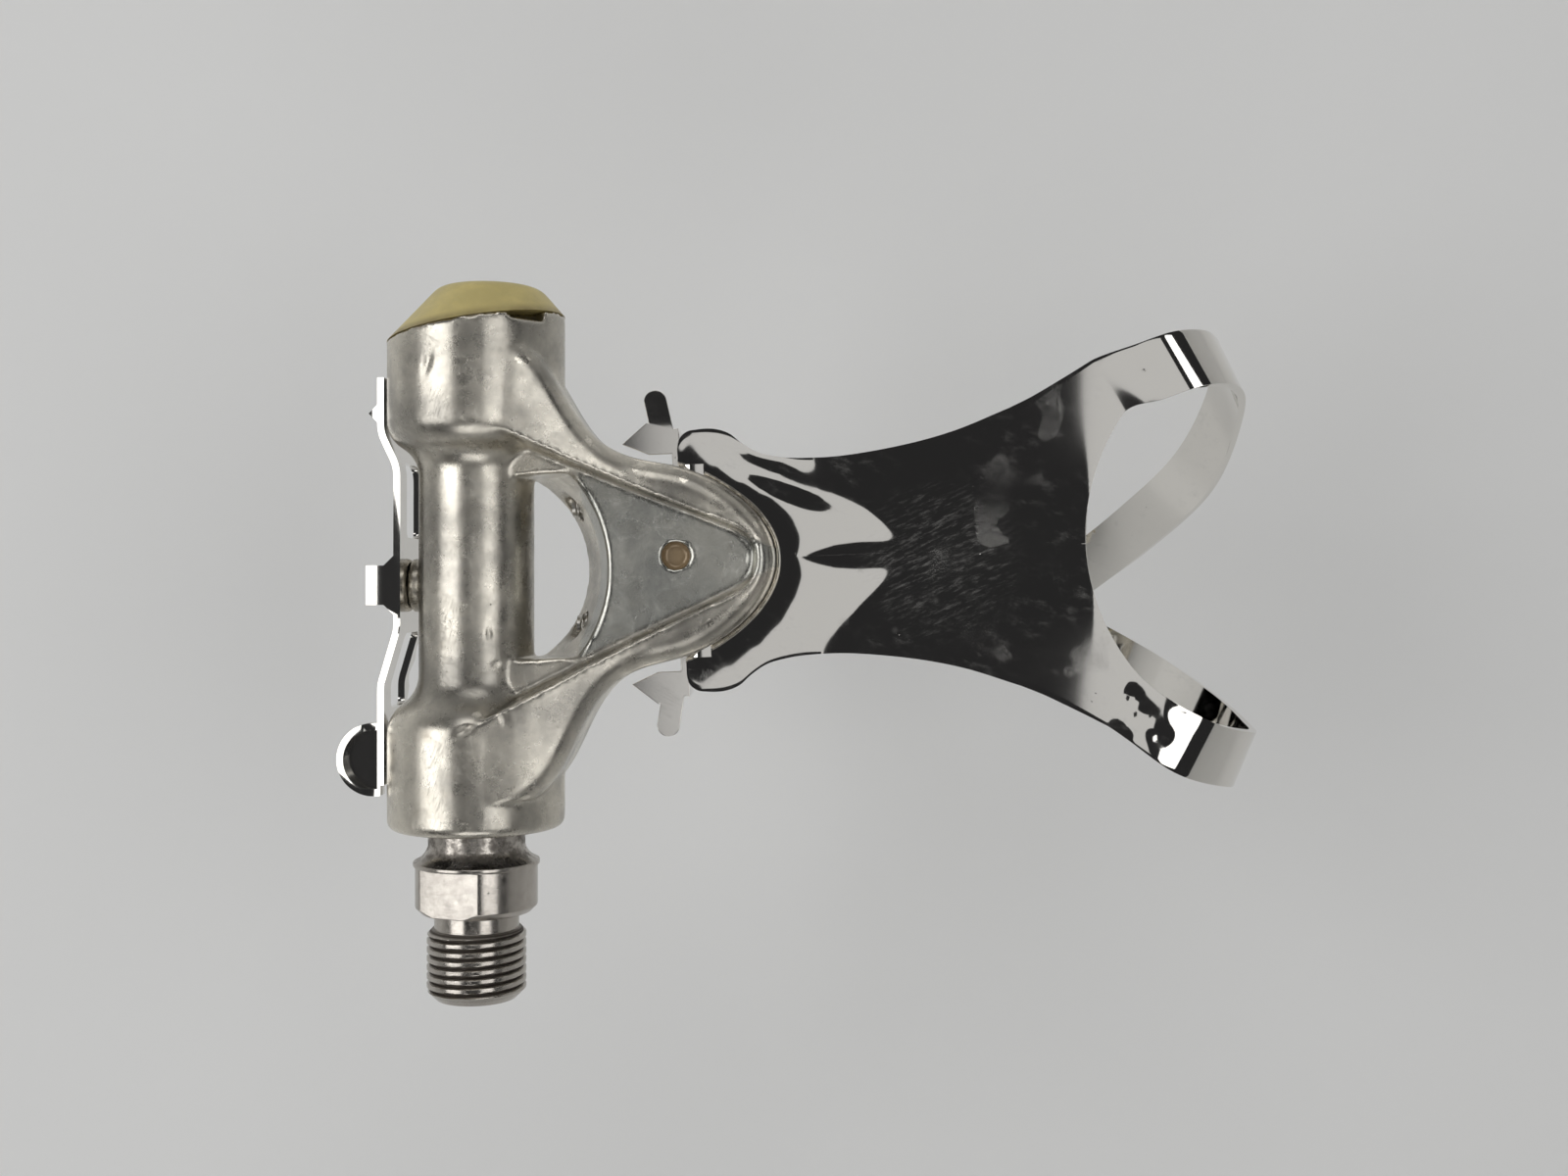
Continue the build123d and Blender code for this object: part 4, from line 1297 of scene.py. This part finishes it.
        def add(holder: bpy.types.Object) -> None:
            """Adds the sheet's thickness and its rounded edges.

            Args:
                holder: object to add them to.
            """
            wall = holder.modifiers.new("wall", "SOLIDIFY")
            wall.thickness = self.thick * MM
            wall.offset = 0.0
            wall.use_even_offset = True
            rounding = holder.modifiers.new("edges", "BEVEL")
            rounding.width = self.edge * MM
            rounding.segments = self.edge_steps
            rounding.limit_method = "ANGLE"
            rounding.angle_limit = math.radians(self.edge_angle)

        sheet = settled(blank, add)
        mesh = shaded(joined([sheet, edged(self.loop(), self.loop_edge)]))
        piece = shop.place("bent_toe_clip", mesh, Slot.CLIP)
        shop.hand_over(piece, Body.PEDAL, "toe_clip")

    def loop(self) -> bpy.types.Mesh:
        """Makes the plate and the flat tube that hold the strap.

        Returns:
            Their mesh.
        """
        low, high = self.loop_span
        half = self.thick / 2
        plan = (
            (self.loop_rear, low),
            (self.loop_corners[1], low),
            self.loop_apex,
            (self.loop_corners[0], high),
            (self.loop_rear, high),
        )
        shape = bmesh.new()
        prism(shape, plan, lambda p, t: (*p, self.loop_z + t), (-half, half))
        wide, tall = self.loop_mouth, self.loop_gap
        left, top = self.loop_rear, self.loop_z + half
        outer = box_ring(left, top, wide + 2 * self.thick, -(tall + 2 * self.thick))
        inner = box_ring(left + self.thick, top - self.thick, wide, -tall)
        tube(shape, outer, inner, (low - self.loop_lip, high + self.loop_lip))
        made = bpy.data.meshes.new("strap_loop")
        bmesh.ops.recalc_face_normals(shape, faces=shape.faces)
        shape.to_mesh(made)
        shape.free()
        return made


def segment_gap(point: Vector, start: Vector, end: Vector) -> float:
    """Measures how far a point is from a straight line.

    Args:
        point: the point.
        start: one end of the line.
        end: its other end.

    Returns:
        The distance.
    """
    way = end - start
    share = min(1.0, max(0.0, (point - start).dot(way) / max(way.length_squared, 1e-9)))
    return (point - start - way * share).length


def spread(keys: Sequence[Sequence[float]], steps: int) -> list[tuple[float, ...]]:
    """Runs smoothly through keys.

    Args:
        keys: rows of values.
        steps: steps from each key to the next.

    Returns:
        The rows, those of the keys among them.
    """
    points = np.array(keys, float)
    gaps = np.linalg.norm(np.diff(points, axis=0), axis=1)
    knots = np.concatenate([[0.0], np.cumsum(gaps)])
    slopes = np.gradient(points, knots, axis=0)
    out = []
    for n in range(len(points) - 1):
        span = knots[n + 1] - knots[n]
        for k in range(steps):
            t = k / steps
            basis = (2 * t**3 - 3 * t**2 + 1, t**3 - 2 * t**2 + t, 3 * t**2 - 2 * t**3, t**3 - t**2)
            value = basis[0] * points[n] + basis[1] * span * slopes[n]
            value = value + basis[2] * points[n + 1] + basis[3] * span * slopes[n + 1]
            out.append(tuple(value))
    out.append(tuple(points[-1]))
    return out


def add_grid(shape: bmesh.types.BMesh, grid: Sequence[Sequence[Vector]]) -> None:
    """Adds a grid of points as faces.

    Args:
        shape: the mesh to add to.
        grid: rows of points in millimetres.
    """
    rows = [[shape.verts.new(point * MM) for point in row] for row in grid]
    for low, high in zip(rows, rows[1:]):
        for a, b, c, d in zip(low, low[1:], high[1:], high):
            shape.faces.new((a, b, c, d))


def prism(
    shape: bmesh.types.BMesh,
    plan: Sequence[tuple[float, float]],
    lift: Callable[[tuple[float, float], float], Sequence[float]],
    ends: tuple[float, float],
) -> None:
    """Adds a prism.

    Args:
        shape: the mesh to add to.
        plan: corners of its plan.
        lift: makes a point of a corner and a height.
        ends: the two heights.
    """
    low, high = ([shape.verts.new(Vector(lift(p, t)) * MM) for p in plan] for t in ends)
    shape.faces.new(low)
    shape.faces.new(high)
    for n in range(len(plan)):
        m = (n + 1) % len(plan)
        shape.faces.new((low[n], low[m], high[m], high[n]))


def box_ring(x: float, z: float, wide: float, tall: float) -> list[tuple[float, float]]:
    """Returns the corners of a rectangle from its first corner."""
    return [(x, z), (x + wide, z), (x + wide, z + tall), (x, z + tall)]


def tube(
    shape: bmesh.types.BMesh,
    outer: Sequence[tuple[float, float]],
    inner: Sequence[tuple[float, float]],
    ends: tuple[float, float],
) -> None:
    """Adds a tube along Y.

    Args:
        shape: the mesh to add to.
        outer: corners of its outer outline, in X and Z.
        inner: corners of its inner outline.
        ends: where it starts and ends along Y.
    """
    rings = []
    for plan in (outer, inner):
        for y in ends:
            rings.append([shape.verts.new(Vector((x, y, z)) * MM) for x, z in plan])
    for first, second in ((0, 1), (2, 3), (0, 2), (1, 3)):
        a, b = rings[first], rings[second]
        for n in range(len(a)):
            m = (n + 1) % len(a)
            shape.faces.new((a[n], a[m], b[m], b[n]))


@dataclass
class Hardware:
    """Plates, cap, screws, washers and nuts with their edges broken."""

    edges: dict[str, tuple[float, Slot]] = field(
        default_factory=lambda: {
            "rear_plate": (0.34, Slot.PLATE),
            "front_plate": (0.25, Slot.PLATE),
            "dust_cap": (0.5, Slot.CAP),
            "rear_plate_screw": (0.3, Slot.SCREW),
            "clip_washer_1": (0.15, Slot.SCREW),
            "clip_washer_2": (0.15, Slot.SCREW),
            "clip_nut_1": (0.35, Slot.SCREW),
            "clip_nut_2": (0.35, Slot.SCREW),
        }
    )
    ear_bend: float = 21.1
    ear_droop: float = 8.0
    edge_roll: float = 0.2
    tab_span: tuple[float, float] = (43.2, 51.8)
    tab_root: float = -11.3
    tongue_root: float = -14.2
    top_band: float = 0.02
    wall_tilt: float = 0.2
    tongue_way: float = 0.2
    edge_way: float = -0.3
    screw_dia: float = 4.0
    screw_half: float = 8.95
    screw_z: float = -4.2
    screw_run: tuple[float, float] = (14.3, 36.1)
    screw_pitch: float = 0.7
    screw_depth: float = 0.3
    screw_chamfer: float = 0.36
    screw_rows: int = 260
    screw_edge: float = 0.12

    def build(self, shop: Workshop, threads: ThreadTree) -> None:
        """Makes the pieces and lets them stand for their CAD nodes.

        Args:
            shop: gives the finishes.
            threads: winds the screws' threads.
        """
        for node, (width, slot) in self.edges.items():
            blank = node_copy(node)
            if node == "front_plate":
                self.bend_ear(blank)
            if node == "rear_plate":
                self.roll_edge(blank)
            piece = shop.place(f"{node}_edged", shaded(edged(blank, width)), slot)
            shop.hand_over(piece, Body.PEDAL, node)
        for number, side in ((1, -1), (2, 1)):
            self.clip_screw(shop, threads, number, side)

    def bend_ear(self, mesh: bpy.types.Mesh) -> None:
        """Bends the outboard ear of the front plate away from the viewer.

        Args:
            mesh: the plate, which is changed.
        """
        root = NOSE.point(0, self.ear_bend, 0)
        away = (NOSE.point(0, self.ear_bend + 1, 0) - root).normalized()
        shape = bmesh.new()
        shape.from_mesh(mesh)
        whole = [*shape.verts, *shape.edges, *shape.faces]
        bmesh.ops.bisect_plane(shape, geom=whole, plane_co=root * MM, plane_no=away, dist=CORNER_WELD)
        for vertex in shape.verts:
            past = max(0.0, (vertex.co / MM - root).dot(away))
            vertex.co.z -= past * math.tan(math.radians(self.ear_droop)) * MM
        shape.to_mesh(mesh)
        shape.free()

    def roll_edge(self, mesh: bpy.types.Mesh) -> None:
        """Lowers the outer corner of the rear plate's upper edge and its tongue, but not of its tab.

        Args:
            mesh: the plate, which is changed.
        """
        shape = bmesh.new()
        shape.from_mesh(mesh)
        shape.normal_update()
        top = max(vertex.co.z for vertex in shape.verts)
        low, high = self.tab_span
        for vertex in shape.verts:
            x, y, _ = vertex.co / MM
            on_tab = low < y < high and x < self.tab_root
            if on_tab or vertex.co.z < top - self.top_band * MM:
                continue
            limit = self.tongue_way if x < self.tongue_root else self.edge_way
            walls = [face.normal for face in vertex.link_faces if abs(face.normal.z) < self.wall_tilt]
            if any(normal.x < limit for normal in walls):
                vertex.co.z -= self.edge_roll * MM
        shape.to_mesh(mesh)
        shape.free()

    def clip_screw(self, shop: Workshop, threads: ThreadTree, number: int, side: int) -> None:
        """Makes a threaded clip screw, slotted at its tail.

        Args:
            shop: gives the finish.
            threads: winds the thread.
            number: the screw's number.
            side: 1 for outboard, -1 for inboard.
        """
        node = f"clip_screw_{number}"
        axis = NOSE.axis()
        foot = NOSE.point(0, side * self.screw_half, self.screw_z)
        blank = node_copy(node)
        slim = 1 - 2 * self.screw_depth / self.screw_dia
        for vertex in blank.vertices:
            away = vertex.co / MM - foot
            on_axis = foot + axis * away.dot(axis)
            vertex.co = (on_axis + (vertex.co / MM - on_axis) * slim) * MM
        start, end = self.screw_run
        lengths = {
            "Radius": self.screw_dia / 2,
            "Depth": self.screw_depth,
            "Pitch": self.screw_pitch,
            "Start": start,
            "Length": end - start,
            "Chamfer": self.screw_chamfer,
        }
        thread = threads.wind(lengths, self.screw_rows, shop.materials[Slot.SCREW])
        turn = Vector((0, 1, 0)).rotation_difference(axis).to_matrix().to_4x4()
        thread.transform(Matrix.Translation(foot * MM) @ turn)
        mesh = shaded(joined([edged(blank, self.screw_edge), thread]))
        piece = shop.place(f"{node}_threaded", mesh, Slot.SCREW)
        shop.hand_over(piece, Body.PEDAL, node)


@dataclass
class Studio:
    """Pale sweep, soft lamps, and the camera over the pedal."""

    eye: Colour = (44.8, 47.0, 230.0)
    focal: float = 36.2
    sensor: float = 36.0
    near: float = 5.0
    # Low enough for the clip to clear the floor at every turn of the pedal
    floor_z: float = -118.5
    floor_half: float = 600.0
    floor_sides: int = 64
    floor_rough: float = 0.9
    sweep: float = 500.0
    sweep_steps: int = 16
    floor_colour: Colour = (0.80, 0.80, 0.79)
    sky: Colour = (0.023, 0.023, 0.024)
    lamps: Sequence[tuple[str, Colour, Colour, float, float, float]] = (
        ("overhead", (75.0, 50.0, 900.0), (75.0, 50.0, 0.0), 270.0, 300.0, 0.15),
        ("left_bank", (-600.0, 90.0, 640.0), (20.0, 48.0, 0.0), 700.0, 600.0, 3.5),
        ("right_bank", (540.0, 40.0, 760.0), (40.0, 48.0, 0.0), 700.0, 460.0, 2.0),
        ("cap_bank", (60.0, 720.0, 600.0), (40.0, 60.0, 0.0), 600.0, 460.0, 1.5),
        ("crank_bank", (60.0, -640.0, 600.0), (40.0, 40.0, 0.0), 600.0, 460.0, 1.4),
    )

    def build(self) -> None:
        """Makes the sweep, the lamps and the camera."""
        self.add_floor()
        for lamp in self.lamps:
            self.add_lamp(*lamp)
        world = bpy.data.worlds.new("studio")
        world.use_nodes = True
        world.node_tree.nodes["Background"].inputs["Color"].default_value = (*self.sky, 1.0)
        scene = bpy.context.scene
        scene.world = world
        scene.view_settings.view_transform = "Standard"
        lens = bpy.data.cameras.new("over_pedal")
        lens.lens = self.focal
        lens.sensor_width = self.sensor
        lens.clip_start = self.near * MM
        camera = bpy.data.objects.new("over_pedal", lens)
        camera.location = Vector(self.eye) * MM
        scene.collection.objects.link(camera)
        scene.camera = camera

    def add_floor(self) -> None:
        """Adds a round floor that sweeps up to a wall."""
        profile = [(0.0, 0.0), (self.floor_half, 0.0)]
        for n in range(1, self.sweep_steps + 1):
            turn = math.pi / 2 * n / self.sweep_steps
            x = self.floor_half + self.sweep * math.sin(turn)
            profile.append((x, self.sweep * (1 - math.cos(turn))))
        shape = bmesh.new()
        verts = [shape.verts.new(Vector((x, 0.0, self.floor_z + z)) * MM) for x, z in profile]
        edges = [shape.edges.new(pair) for pair in zip(verts, verts[1:])]
        bmesh.ops.spin(
            shape,
            geom=[*verts, *edges],
            cent=(0, 0, 0),
            axis=(0, 0, 1),
            angle=2 * math.pi,
            steps=self.floor_sides,
            use_merge=True,
        )
        bmesh.ops.remove_doubles(shape, verts=shape.verts, dist=TURN_WELD)
        bmesh.ops.recalc_face_normals(shape, faces=shape.faces)
        mesh = bpy.data.meshes.new("sweep")
        shape.to_mesh(mesh)
        shape.free()
        mesh.shade_smooth()
        paint = bpy.data.materials.new("pale_sweep")
        paint.use_nodes = True
        shader = paint.node_tree.nodes["Principled BSDF"]
        shader.inputs["Base Color"].default_value = (*self.floor_colour, 1.0)
        shader.inputs["Roughness"].default_value = self.floor_rough
        mesh.materials.append(paint)
        floor = bpy.data.objects.new("sweep", mesh)
        bpy.context.scene.collection.objects.link(floor)

    def add_lamp(
        self, name: str, place: Colour, target: Colour, wide: float, tall: float, power: float
    ) -> None:
        """Adds a soft lamp.

        Args:
            name: what to call it.
            place: where it hangs, in millimetres.
            target: where it points.
            wide: its width in millimetres.
            tall: its height in millimetres.
            power: its power in watts.
        """
        light = bpy.data.lights.new(name, "AREA")
        light.shape = "RECTANGLE"
        light.size = wide * MM
        light.size_y = tall * MM
        light.energy = power
        lamp = bpy.data.objects.new(name, light)
        lamp.location = Vector(place) * MM
        aim = Vector(target) - Vector(place)
        lamp.rotation_euler = aim.to_track_quat("-Z", "Y").to_euler()
        bpy.context.scene.collection.objects.link(lamp)


def main() -> None:
    """Builds the pieces in order, dresses what stays and sets up the studio."""
    logging.basicConfig(level=logging.INFO, format="%(name)s: %(message)s")
    shop = Workshop(FINISHES)
    threads = ThreadTree()
    for node in frame["nodes"]:
        shop.dress(node)
    ForgedBody().build(shop)
    Spindle().build(shop, threads)
    ClipSheet().build(shop)
    Hardware().build(shop, threads)
    Studio().build()


if __name__ == "__main__":
    main()
